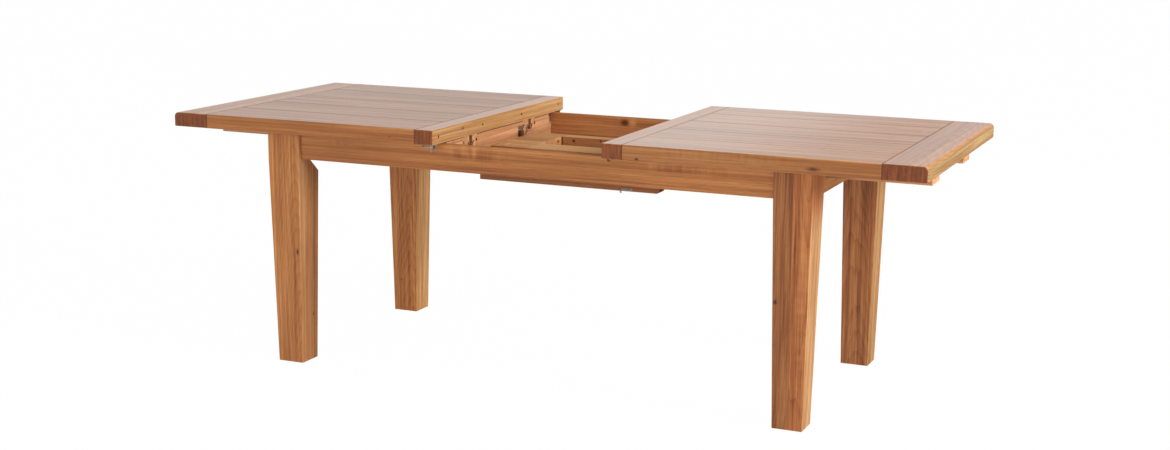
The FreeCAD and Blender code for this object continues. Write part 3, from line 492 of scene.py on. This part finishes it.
CLOUD_SCALE = (140.0,) * 3
METAL_GRIT = (900.0,) * 3
PLASTIC_GRIT = (700.0,) * 3
GRIT_DEPTH = 0.05 * MM
PLASTIC_ROUGHNESS = 0.37


def metal(name, colour, roughness):
    """Plated metal, a little blotched."""
    paint = Paint(name)
    place = paint.place()
    cloud = paint.stir(place, CLOUD_SCALE, (3.0, 1.0, 7.0), 3.0)
    grit = paint.stir(place, METAL_GRIT, (5.0, 2.0, 4.0), 2.0)
    shade = paint.ramp(cloud, [(0.3, opaque(scaled(colour, 0.62))), (0.7, opaque(colour))])
    return paint.finish(Base_Color=shade, Metallic=0.92, Roughness=cloud * 0.2 + (roughness - 0.1),
                        Normal=paint.bump(grit, GRIT_DEPTH, 0.4))


def moulded(name, colour):
    """Matt moulded plastic with a fine texture."""
    paint = Paint(name)
    grit = paint.stir(paint.place(), PLASTIC_GRIT, (1.0, 2.0, 3.0), 2.0)
    shade = paint.ramp(grit, [(0.3, opaque(scaled(colour, 0.80))), (0.7, opaque(colour))])
    return paint.finish(Base_Color=shade, Roughness=grit * 0.15 + PLASTIC_ROUGHNESS,
                        Normal=paint.bump(grit, GRIT_DEPTH, 0.5))


ZINC = metal("zinc_plate", (0.36, 0.28, 0.22), 0.45)
WIRE = metal("spring_wire", (0.46, 0.38, 0.31), 0.34)
BRASS = metal("hinge_brass", (0.66, 0.46, 0.18), 0.30)
BRONZE = metal("dark_bronze", (0.085, 0.048, 0.030), 0.42)
COPPER = metal("browned_copper", (0.250, 0.105, 0.060), 0.45)
BLOCK = moulded("catch_block_brown", (0.085, 0.024, 0.014))
GLIDE = moulded("glide_plastic", (0.52, 0.47, 0.40))


# Boards ----------------------------------------------------------------------------------------

def centre_of(node):
    low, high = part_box(node)
    return tuple((low + high) / 2)


def wear(node, material):
    """Gives a CAD node its material."""
    mesh = frame["nodes"][node].data
    mesh.materials.clear()
    mesh.materials.append(material)


def ease(node, width=EASE_WIDTH):
    """Takes the sharpness off the sawn edges of a board."""
    solid = frame["nodes"][node]
    weld = solid.modifiers.new("weld", "WELD")
    weld.merge_threshold = WELD_REACH
    bevel = solid.modifiers.new("eased edges", "BEVEL")
    bevel.width = width
    bevel.segments = EASE_SEGMENTS
    bevel.limit_method = "ANGLE"
    bevel.angle_limit = math.radians(EASE_ANGLE)


def board(node, grain, **looks):
    """Dresses a wooden CAD node."""
    wear(node, wood(f"oak_{node}", grain, centre_of(node), **looks))
    ease(node)


def seams_of(node, outline):
    """The planes where a board of a half top meets its neighbours."""
    low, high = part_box(node)
    planes = [(axis, place) for axis in (X, Y) for place in (low[axis], high[axis])]
    return [(axis, place) for axis, place in planes
            if min(abs(place - edge) for edge in outline[axis]) > 1 * MM]


# The half tops. A plank's tones run from the front to the back.
PLANK_TONES = {"left": (0.90, 0.85, 0.92, 0.84, 0.88), "right": (0.98, 1.04, 0.97, 1.06, 1.00)}
PLANK_SHEENS = {"left": (0.38, 0.0, -1.0, 0.0), "right": (0.86, 0.55, 0.45, 1.00)}
END_SHEENS = {"left": {"inner": 0.66, "outer": 0.46}, "right": {"inner": 0.82, "outer": 0.50}}
# The end boards' tints for the faces that look along X are painted light: the table's ends and the
# inner edges take a colour of their own, less red than the tops, standing in for how the key lamp
# falls on them.
OUTER_END_LOOKS = {"tone": 0.98, "cathedral": 1.5, "rings": 0.75, "pith": (0.012, -0.060),
                   "tilt": (0.02, 0.05), "walls": [(X, (0.66, 0.98, 1.28))]}
INNER_END_LOOKS = {"tone": 1.06, "walls": [(X, (0.88, 1.18, 1.52))]}
TOP_DETAILS = {
    "right_top_plank_1": {
        # Painted shade: the front plank's faces that look along Y, its front edge, are darkened.
        "walls": [(Y, (0.72, 0.69, 0.68))],
        "knots": [((0.375, -0.464, 0.742), (0.006, 0.006, 0.0035), 1.0),
                  ((0.882, -0.464, 0.751), (0.020, 0.006, 0.006), 0.7)],
        "figures": [((0.60, -0.464, 0.770), (0.30, 0.05, 0.03), 0.8)]},
    "right_top_plank_3": {"veins": [(Y, -0.050, 0.008, 0.9)]},
    "right_top_plank_4": {"veins": [(Y, 0.150, 0.006, 0.25)]},
    "left_top_plank_1": {
        "knots": [((-0.414, -0.464, 0.754), (0.003, 0.004, 0.002), 0.9)]},
    "left_top_inner_end_board": {
        "knots": [((-0.270, -0.271, 0.763), (0.003, 0.008, 0.005), 0.7)]},
}


def dress_tops():
    for side, tones in PLANK_TONES.items():
        planks = [f"{side}_top_plank_{number}" for number in range(1, 6)]
        ends = [f"{side}_top_{place}_end_board" for place in ("inner", "outer")]
        corners = [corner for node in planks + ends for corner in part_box(node)]
        outline = [(min(places), max(places)) for places in
                   ([corner[axis] for corner in corners] for axis in (X, Y))]
        for node, tone in zip(planks, tones):
            board(node, X, tone=tone, seams=seams_of(node, outline), sheen=PLANK_SHEENS[side],
                  cathedral=0.5, flat_contrast=1.8, **TOP_DETAILS.get(node, {}))
        for node, place in zip(ends, ("inner", "outer")):
            looks = OUTER_END_LOOKS if place == "outer" else INNER_END_LOOKS
            board(node, Y, seams=seams_of(node, outline),
                  sheen=(END_SHEENS[side][place], 0.0, 0.0, 1.0), **looks,
                  **TOP_DETAILS.get(node, {}))


# The legs' tints for the faces that look along X are painted light: the side faces are made paler,
# as where the key lamp falls on them. On the front right leg that tint is full below 0.56 m and
# gone above 0.665 m, so the top of its side face stays darker: a painted shadow of the overhanging
# top.
LEG_LOOKS = {
    "leg_front_left": {
        "tone": 1.12, "staves": [(X, -0.853, -0.16), (Y, -0.345, -0.12)],
        "walls": [(X, (0.92, 1.04, 1.35))],
        "knots": [((-0.777, -0.417, 0.360), (0.0045, 0.006, 0.010), 1.0),
                  ((-0.770, -0.346, 0.147), (0.004, 0.004, 0.007), 0.8)]},
    "leg_front_right": {
        "tone": 0.59, "tint": (1.0, 0.87, 0.84), "staves": [(X, 0.817, 0.26)],
        "walls": [(X, (0.96, 1.40, 1.90), 0.665, 0.560)], "contrast": 1.5,
        "figures": [((0.845, -0.41, 0.35), (0.04, 0.06, 0.50), 0.5)],
        "knots": [((0.774, -0.417, 0.365), (0.005, 0.006, 0.007), 1.0),
                  ((0.772, -0.419, 0.240), (0.003, 0.005, 0.012), 0.6)]},
    "leg_back_left": {
        "tone": 1.16, "staves": [(X, -0.790, 0.10)], "contrast": 1.3,
        "walls": [(X, (1.16, 1.55, 2.10))],
        "knots": [((-0.830, 0.320, 0.112), (0.003, 0.005, 0.004), 0.9)]},
    "leg_back_right": {"tone": 0.62, "tint": (1.0, 0.91, 0.92), "cathedral": 0.9,
                       "contrast": 1.5, "walls": [(X, (1.14, 1.60, 1.80))]},
}


# Painted shade: dark lines on the cross rails where each meets the back apron, a shadowed corner,
# and just under the top, a shadowed gap.
CROSS_RAIL_SHADE_LINES = [(Y, 0.3845), (Z, 0.7325)]


def dress_frame():
    board("apron_front", X, tone=0.98, cathedral=1.4,
          seams=[(X, -0.760), (X, 0.760)],
          figures=[((-0.150, -0.410, 0.710), (0.14, 0.05, 0.035), 1.6),
                   ((0.480, -0.410, 0.716), (0.24, 0.05, 0.025), 1.1),
                   ((-0.600, -0.410, 0.720), (0.12, 0.05, 0.03), 0.9)],
          washes=[((-0.620, -0.410, 0.716), (0.36, 0.30, 0.30), 0.42, DEEP)])
    board("apron_back", X, tone=1.0, tint=(1.04, 1.02, 1.16), cathedral=2.0,
          knots=[((-0.008, 0.388, 0.716), (0.017, 0.010, 0.012), 1.0)],
          washes=[((0.020, 0.388, 0.718), (0.022, 0.016, 0.026), 1.0, PALE)])
    for side in ("left", "right"):
        board(f"apron_{side}", Y, tone=0.95)
        # The knot given to the cross rails is a dark spot of painted shade in the corner where the
        # left rail meets the back apron.
        board(f"cross_rail_{side}", Y, tone=1.14, tint=(0.96, 1.20, 1.85),
              seams=CROSS_RAIL_SHADE_LINES,
              knots=[((-0.278, 0.376, 0.714), (0.012, 0.010, 0.015), 1.0)])
        for depth in ("front", "back"):
            leg = f"leg_{depth}_{side}"
            board(leg, Z, **LEG_LOOKS[leg])
            board(f"corner_brace_{depth}_{side}", X)
            board(f"{side}_runner_{depth}", X, tone=1.12, tint=(1.0, 1.24, 1.85), ends=0.0)
            board(f"{side}_guide_rails_{depth}", X)


def dress_leaf():
    for half in ("upper", "lower"):
        board(f"leaf_{half}_panel", X, tone=0.86, tint=(1.0, 1.10, 1.40))
        # Painted shade on the battens: the faces that look along Y are darkened, the recess's back
        # wall in shadow, and the first knot listed, a thin tall one, is the dark corner of the
        # recess.
        board(f"leaf_{half}_battens", X, tone=1.55, tint=(0.92, 1.20, 1.70), ends=0.0,
              staves=[(X, -0.150, 0.20)],
              walls=[(Y, (0.72, 0.60, 0.60))], contrast=0.7,
              figures=[((-0.235, -0.020, 0.684), (0.05, 0.03, 0.03), 1.8)],
              knots=[((-0.1515, 0.200, 0.670), (0.0022, 0.004, 0.020), 1.0),
                     ((-0.1555, 0.176, 0.671), (0.003, 0.010, 0.005), 0.9),
                     ((-0.111, 0.200, 0.673), (0.006, 0.006, 0.005), 1.0),
                     ((-0.016, 0.200, 0.679), (0.004, 0.006, 0.005), 0.7)])
    for depth in ("front", "back"):
        # The cradles' low tone is painted shade: they sit back under the apron, in its shadow.
        board(f"leaf_cradle_{depth}", X, tone=0.64, tint=(1.04, 0.94, 0.92))


# Shapes for the fittings -----------------------------------------------------------------------

WIRE_SIDES = 12
BEND_STEPS = 6
BLOCK_EDGE_STEPS = 3
SMOOTH_ANGLE = 35


def round_section(radius):
    """A circle about the middle of a wire."""
    turns = [math.tau * number / WIRE_SIDES for number in range(WIRE_SIDES)]
    return [(radius * math.cos(turn), radius * math.sin(turn)) for turn in turns]


def flat_section(thickness, width):
    """A strip's section, its corners a little eased."""
    ease_width = 0.2 * thickness
    u, v = thickness / 2, width / 2
    corners = [(u, -v), (u, v), (-u, v), (-u, -v)]
    eased = []
    for index, (a, b) in enumerate(corners):
        for beside in (index - 1, (index + 1) % 4):
            c, d = corners[beside]
            share = ease_width / math.hypot(c - a, d - b)
            eased.append((a + (c - a) * share, b + (d - b) * share))
    return eased


def bent(points, radius, closed=False):
    """A route through points with each corner turned as an arc."""
    count = len(points)
    route = []
    for index, corner in enumerate(points):
        if not closed and index in (0, count - 1):
            route.append(corner)
            continue
        back = points[index - 1] - corner
        ahead = points[(index + 1) % count] - corner
        half = back.angle(ahead) / 2
        reach = min(radius / math.tan(half), 0.45 * back.length, 0.45 * ahead.length)
        start = corner + back.normalized() * reach
        stop = corner + ahead.normalized() * reach
        hub = corner + (back.normalized() + ahead.normalized()).normalized() * (
            reach / math.cos(half))
        for step in range(BEND_STEPS + 1):
            arm = (start - hub).lerp(stop - hub, step / BEND_STEPS)
            route.append(hub + arm.normalized() * (start - hub).length)
    return route


class Shape:
    """A mesh under construction."""

    def __init__(self):
        self.mesh = bmesh.new()

    def sweep(self, route, section, normal, closed=False, sizes=None):
        """A section carried along a route that lies in one plane."""
        normal = Vector(normal)
        count = len(route)
        rings = []
        for index, point in enumerate(route):
            after = route[(index + 1) % count if closed else min(index + 1, count - 1)]
            before = route[index - 1 if closed else max(index - 1, 0)]
            side = normal.cross((after - before).normalized())
            size = sizes[index] if sizes else 1.0
            rings.append([self.mesh.verts.new(point + (side * u + normal * v) * size)
                          for u, v in section])
        pairs = list(zip(rings, rings[1:])) + ([(rings[-1], rings[0])] if closed else [])
        for low, high in pairs:
            for index in range(len(section)):
                ahead = (index + 1) % len(section)
                self.mesh.faces.new((low[index], low[ahead], high[ahead], high[index]))
        if not closed:
            self.mesh.faces.new(rings[0][::-1])
            self.mesh.faces.new(rings[-1])
        return self

    def block(self, low, high, radius):
        """A box with rounded edges."""
        made = bmesh.ops.create_cube(self.mesh, size=1.0)["verts"]
        low, high = Vector(low), Vector(high)
        for vertex in made:
            vertex.co = (low + high) / 2 + Vector(
                tuple(vertex.co[axis] * (high[axis] - low[axis]) for axis in range(3)))
        edges = list(dict.fromkeys(edge for vertex in made for edge in vertex.link_edges))
        bmesh.ops.bevel(self.mesh, geom=edges, offset=radius, segments=BLOCK_EDGE_STEPS,
                        profile=0.5, affect="EDGES", clamp_overlap=True)
        return self

    def piece(self, name, material, node, slot, cover=True):
        """The finished piece, riding where a CAD node does and standing for it."""
        bmesh.ops.recalc_face_normals(self.mesh, faces=self.mesh.faces)
        mesh = bpy.data.meshes.new(name)
        self.mesh.to_mesh(mesh)
        self.mesh.free()
        return add_piece(name, mesh, material, node, cover)


def add_piece(name, mesh, material, node, cover=True):
    """Puts a mesh in the scene on the body of a CAD node."""
    mesh.materials.clear()
    mesh.materials.append(material)
    mesh.shade_smooth()
    mesh.set_sharp_from_angle(angle=math.radians(SMOOTH_ANGLE))
    made = bpy.data.objects.new(name, mesh)
    bpy.context.scene.collection.objects.link(made)
    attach(made, frame["nodes"][node]["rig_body"])
    if cover:
        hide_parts(node)
    return made


def solids_of(node):
    """The lowest and highest corners of each separate solid of a CAD node."""
    copy = bmesh.new()
    copy.from_mesh(frame["nodes"][node].data)
    bmesh.ops.remove_doubles(copy, verts=copy.verts, dist=WELD_REACH)
    found = []
    left = set(copy.verts)
    while left:
        waiting = [left.pop()]
        island = []
        while waiting:
            vertex = waiting.pop()
            island.append(vertex.co.copy())
            for edge in vertex.link_edges:
                other = edge.other_vert(vertex)
                if other in left:
                    left.remove(other)
                    waiting.append(other)
        found.append(tuple(Vector(tuple(end(spot[axis] for spot in island) for axis in range(3)))
                           for end in (min, max)))
    copy.free()
    return sorted(found, key=lambda pair: tuple(round(c, 5) for c in pair[0]))


# Screws ----------------------------------------------------------------------------------------

SCREW_LABELS = ("Head Radius", "Head Height", "Shank Radius", "Length", "Slot Width", "Slot Depth")
SCREW_SEED = 11
HEAD_SIDES = 24
SHANK_SIDES = 16
CLIP_SCREW_SEAT = 1.5 * MM
CRADLE_SCREW_SEAT = 3 * MM


def screw_recipe(domed):
    """Upright screws on points, heads down, each with a cross slot turned its own way."""
    recipe = Recipe("domed_screws" if domed else "flat_screws", SCREW_LABELS)
    head_radius, head_height, shank_radius, length, slot_width, slot_depth = (
        recipe.input(label) for label in SCREW_LABELS)
    if domed:
        ball = recipe.node("GeometryNodeMeshUVSphere", None, HEAD_SIDES, HEAD_SIDES // 2, 1.0)
        head = recipe.move(ball, scale=recipe.vector(head_radius, head_radius, head_height))
        face = head_height * -1.0
    else:
        head = recipe.node("GeometryNodeMeshCone", None, Vertices=HEAD_SIDES,
                           Radius_Top=shank_radius, Radius_Bottom=head_radius, Depth=head_height)
        face = head_height * 0.0
    arm = recipe.node("GeometryNodeMeshCube", None,
                      recipe.vector(head_radius * 1.1, slot_width, slot_depth * 2.0))
    cross = recipe.join(arm, recipe.move(arm, turn=(0, 0, math.pi / 2)))
    cross = recipe.move(cross, place=recipe.vector(z=face))
    slotted = recipe.node("GeometryNodeMeshBoolean", {"operation": "DIFFERENCE"}, head, cross)
    shank = recipe.node("GeometryNodeMeshCylinder", None, Vertices=SHANK_SIDES,
                        Radius=shank_radius, Depth=length)
    shank = recipe.move(shank, place=recipe.vector(z=length * 0.5))
    screw = recipe.join(slotted, shank)
    turn = recipe.node("FunctionNodeRandomValue", {"data_type": "FLOAT_VECTOR"},
                       (0, 0, 0), (0, 0, math.tau))
    turn.socket.node.inputs["Seed"].default_value = SCREW_SEED
    rotation = recipe.node("FunctionNodeEulerToRotation", None, turn)
    points = recipe.node("GeometryNodeMeshToPoints", None, recipe.input("Geometry"))
    placed = recipe.node("GeometryNodeInstanceOnPoints", None, Points=points, Instance=screw,
                         Rotation=rotation)
    return recipe.finish(placed, ZINC)


FLAT_SCREWS = screw_recipe(domed=False)
DOMED_SCREWS = screw_recipe(domed=True)


def drive_screws(name, node, recipe, sizes, seat=0.0):
    """Real screws in place of a node's plain ones, each at the low end of its solid."""
    spots = []
    for low, high in solids_of(node):
        middle = (low + high) / 2
        spots.append((middle.x, middle.y, low.z + seat))
    mesh = bpy.data.meshes.new(name)
    mesh.from_pydata(spots, [], [])
    holder = bpy.data.objects.new(name + "_points", mesh)
    bpy.context.scene.collection.objects.link(holder)
    modifier = holder.modifiers.new("screws", "NODES")
    modifier.node_group = recipe
    for socket in recipe.interface.items_tree:
        if socket.in_out == "INPUT" and socket.name in sizes:
            modifier[socket.identifier] = sizes[socket.name]
    done = holder.evaluated_get(bpy.context.evaluated_depsgraph_get())
    result = bpy.data.meshes.new_from_object(done)
    bpy.data.objects.remove(holder)
    return add_piece(name, result, ZINC, node)


def screw_sizes(*sizes):
    """A screw's sizes in millimetres, in the order of the recipe's labels."""
    return {label: size * MM for label, size in zip(SCREW_LABELS, sizes)}


def drive_all_screws():
    for side in ("left", "right"):
        low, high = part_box(f"{side}_runner_screws")
        drive_screws(f"{side}_countersunk_screws", f"{side}_runner_screws", FLAT_SCREWS,
                     screw_sizes(5, 3, 2.5, (high.z - low.z) / MM, 0.9, 1.4))
        drive_screws(f"{side}_pan_head_screws", f"{side}_clip_screws", DOMED_SCREWS,
                     screw_sizes(3, 1.5, 1.5, 14, 0.6, 0.8), seat=CLIP_SCREW_SEAT)
    drive_screws("cradle_long_screws", "cradle_screws", DOMED_SCREWS,
                 screw_sizes(5, 3, 2.5, 81.5, 0.9, 1.6), seat=CRADLE_SCREW_SEAT)


# Bent wire and strip ---------------------------------------------------------------------------

BAIL_CORNER = 4.5 * MM

STOP_ROD = 2.0 * MM
STOP_STEM_WIDTH = 13 * MM
STOP_TIP_TURN = 82
STOP_TIP_SHARE = 0.45
STOP_FOOT_SHARE = 1.15
STOP_FOOT_STEPS = 8
# The stem's two ribs: how far out and how high each one runs, and its thickness, all as shares
STOP_RIB = ((0.2, 0.0, 1.0), (0.7, 0.16, 0.9), (1.0, 0.36, 0.8), (1.0, 0.68, 0.8),
            (1.0, 0.995, 0.9))

CATCH_BLOCK_DEPTH = 18 * MM
CATCH_BLOCK_HEIGHT = 19 * MM
CATCH_BLOCK_STEP = 4 * MM
CATCH_BLOCK_EDGE = 2.0 * MM
SPRING_STRIP = 1.2 * MM
SPRING_WIDTH = 10 * MM
SPRING_BEND = 4 * MM

HOOK_WIRE = 1.2 * MM
HOOK_BEND = 3 * MM
HOOK_PLATE_LENGTH = 36 * MM
HOOK_PLATE_HEIGHT = 9 * MM
HOOK_PLATE_THICKNESS = 1.5 * MM


def make_bails():
    """The spring wire bails of the clips, each one closed loop with round corners."""
    for depth in ("front", "back"):
        node = f"clip_bail_{depth}"
        low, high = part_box(node)
        wire = (high.z - low.z) / 2
        level = (high.z + low.z) / 2
        corners = [Vector((x, y, level)) for x, y in
                   ((low.x + wire, low.y + wire), (high.x - wire, low.y + wire),
                    (high.x - wire, high.y - wire), (low.x + wire, high.y - wire))]
        route = bent(corners, BAIL_CORNER, closed=True)
        shape = Shape().sweep(route, round_section(wire), (0, 0, 1), closed=True)
        shape.piece(f"{node}_wire", WIRE, node, "steel")


def make_stops():
    """The cast runner stops: a ribbed stem, and a crescent foot with curled tips."""
    steps = range(-STOP_FOOT_STEPS, STOP_FOOT_STEPS + 1)
    taper = [STOP_FOOT_SHARE - (STOP_FOOT_SHARE - STOP_TIP_SHARE) * abs(step) / STOP_FOOT_STEPS
             for step in steps]
    spread = STOP_STEM_WIDTH / 2 - STOP_ROD
    for side in ("left", "right"):
        node = f"{side}_runner_stops"
        shape = Shape()
        for low, high in solids_of(node):
            x = (low.x + high.x) / 2
            y = (low.y + high.y) / 2
            reach = (high.y - low.y) / 2 - STOP_ROD
            base = low.z + STOP_ROD
            turns = [math.radians(STOP_TIP_TURN * step / STOP_FOOT_STEPS) for step in steps]
            crescent = [Vector((x, y + reach * math.sin(turn),
                                base + reach * (1 - math.cos(turn)))) for turn in turns]
            shape.sweep(crescent, round_section(STOP_ROD), (1, 0, 0), sizes=taper)
            for way in (-1, 1):
                rib = [Vector((x, y + way * spread * share, base + (high.z - base) * rise))
                       for share, rise, _ in STOP_RIB]
                shape.sweep(rib, round_section(STOP_ROD), (1, 0, 0),
                            sizes=[thickness for _, _, thickness in STOP_RIB])
            shape.block((x - 1.2 * MM, y - spread, base + 6 * MM),
                        (x + 0.6 * MM, y + spread, high.z - 0.4 * MM), 0.3 * MM)
        shape.piece(f"{side}_anchor_stops", COPPER, node, "steel")


def make_catch():
    """The leaf's catch: a moulded block, and a bent strip spring beside it."""
    node = "leaf_catch"
    low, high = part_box(node)
    block = Shape()
    block.block((low.x, low.y, low.z),
                (high.x - CATCH_BLOCK_STEP, low.y + CATCH_BLOCK_DEPTH, low.z + CATCH_BLOCK_HEIGHT),
                CATCH_BLOCK_EDGE)
    block.piece("catch_block", BLOCK, node, "steel")
    middle = high.y - SPRING_WIDTH / 2
    back, front = low.x + SPRING_STRIP / 2, high.x - SPRING_STRIP / 2
    top = high.z - SPRING_STRIP / 2
    route = [(back, low.z), (back, top), (front, top), (front, low.z + 9 * MM),
             (front - 6 * MM, low.z + 1 * MM)]
    spring = Shape()
    spring.sweep(bent([Vector((x, middle, z)) for x, z in route], SPRING_BEND),
                 flat_section(SPRING_STRIP, SPRING_WIDTH), (0, 1, 0))
    spring.block((low.x, low.y, high.z - 12 * MM), (low.x + 1.6 * MM, high.y, high.z - 1 * MM),
                 0.6 * MM)
    spring.piece("catch_spring", WIRE, node, "steel", cover=False)


def make_cradle_hook():
    """A small plate on the front cradle, and the wire hook that slopes down from it."""
    node = "cradle_clip"
    low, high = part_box(node)
    y = low.y + HOOK_WIRE
    plate_left, plate_middle = high.x - HOOK_PLATE_LENGTH, high.z - HOOK_PLATE_HEIGHT / 2
    hook = Shape()
    hook.block((plate_left, high.y - HOOK_PLATE_THICKNESS, high.z - HOOK_PLATE_HEIGHT),
               (high.x, high.y, high.z), 0.6 * MM)
    route = [(high.x - 6 * MM, plate_middle), (plate_left + 9 * MM, plate_middle),
             (low.x + HOOK_WIRE, low.z + 3 * MM), (low.x + 3 * MM, low.z + HOOK_WIRE),
             (low.x + 8 * MM, low.z + 2.5 * MM)]
    hook.sweep(bent([Vector((x, y, z)) for x, z in route], HOOK_BEND), round_section(HOOK_WIRE),
               (0, 1, 0))
    hook.piece("cradle_hook", ZINC, node, "steel")


def dress_fittings():
    dowels = wood("oak_dowels", X, centre_of("alignment_dowels"), tone=1.1)
    for node, material, width in (
            ("clip_plates", ZINC, STEEL_EASE), ("clip_keepers", BRONZE, STEEL_EASE),
            ("leg_bolts", ZINC, STEEL_EASE), ("leg_nuts_and_washers", ZINC, STEEL_EASE),
            ("leaf_hinges", BRASS, HINGE_EASE), ("alignment_dowels", dowels, EASE_WIDTH),
            ("top_glides", GLIDE, GLIDE_EASE)):
        wear(node, material)
        ease(node, width)
    drive_all_screws()
    make_bails()
    make_stops()
    make_catch()
    make_cradle_hook()


# Studio ----------------------------------------------------------------------------------------

def aim(yaw, pitch, roll):
    """A turn for a camera: yaw from +Y towards +X, pitch down, roll, all in degrees."""
    yaw, pitch, roll = map(math.radians, (yaw, pitch, roll))
    ahead = Vector((math.sin(yaw) * math.cos(pitch), math.cos(yaw) * math.cos(pitch),
                    -math.sin(pitch)))
    level = Vector((math.cos(yaw), -math.sin(yaw), 0))
    up = level.cross(ahead)
    right = level * math.cos(roll) + up * math.sin(roll)
    top = up * math.cos(roll) - level * math.sin(roll)
    return Matrix((right, top, -ahead)).transposed()


def make_camera():
    lens = bpy.data.cameras.new("camera")
    lens.sensor_width = 36
    lens.lens = CAMERA_LENS
    camera = bpy.data.objects.new("camera", lens)
    camera.matrix_world = (Matrix.Translation(CAMERA_PLACE)
                           @ aim(CAMERA_YAW, CAMERA_PITCH, CAMERA_ROLL).to_4x4())
    bpy.context.scene.collection.objects.link(camera)
    bpy.context.scene.camera = camera


def make_world():
    """White to the eye and in reflections. Its light fades upwards and grows to the right."""
    world = bpy.data.worlds.new("studio")
    bpy.context.scene.world = world
    world.use_nodes = True
    sky = Nodes(world.node_tree)
    direction = sky.node("ShaderNodeTexCoord", None, out="Generated")
    sideways, _, upwards = sky.parts(direction)
    level = (1.0 - upwards.smooth(*SKY_FADE) * (1.0 - SKY_TOP_SHARE)) * SKY_STRENGTH
    level = level + sideways.smooth(*SIDE_RISE) * SIDE_STRENGTH
    lit = sky.node("ShaderNodeBackground", None, (1, 1, 1, 1), level)
    white = sky.node("ShaderNodeBackground", None, (1, 1, 1, 1), 1.0)
    both = sky.node("ShaderNodeMixShader", None, sky.seen(), lit, white)
    sky.node("ShaderNodeOutputWorld", None, both)


def make_floor():
    """A white floor that keeps a faint shadow."""
    bpy.ops.mesh.primitive_plane_add(size=FLOOR_SIZE)
    floor = bpy.context.object
    floor.name = "floor"
    paint = Paint("floor_white")
    matt = paint.node("ShaderNodeBsdfDiffuse", None, opaque(FLOOR_COLOUR))
    glow = paint.node("ShaderNodeEmission", None, (1, 1, 1, 1), 1.0)
    mixed = paint.node("ShaderNodeMixShader", None, paint.seen() * FLOOR_GLOW_SHARE, matt, glow)
    paint.node("ShaderNodeOutputMaterial", None, mixed)
    floor.data.materials.append(paint.material)


def make_lamp(name, place, target, size, power, mirrored=True):
    """A round lamp that faces its target. One that isn't mirrored shows in no gloss."""
    lamp = bpy.data.lights.new(name, "AREA")
    lamp.shape = "DISK"
    lamp.size = size
    lamp.energy = power
    lamp.color = LAMP_COLOUR
    made = bpy.data.objects.new(name, lamp)
    made.location = place
    made.visible_glossy = mirrored
    made.rotation_euler = (Vector(target) - Vector(place)).to_track_quat("-Z", "Y").to_euler()
    bpy.context.scene.collection.objects.link(made)


make_camera()
make_world()
make_floor()
make_lamp("key", KEY_PLACE, KEY_TARGET, KEY_SIZE, KEY_POWER)
make_lamp("fill", FILL_PLACE, FILL_TARGET, FILL_SIZE, FILL_POWER, mirrored=False)
bpy.context.scene.view_settings.view_transform = "Standard"
dress_tops()
dress_frame()
dress_leaf()
dress_fittings()
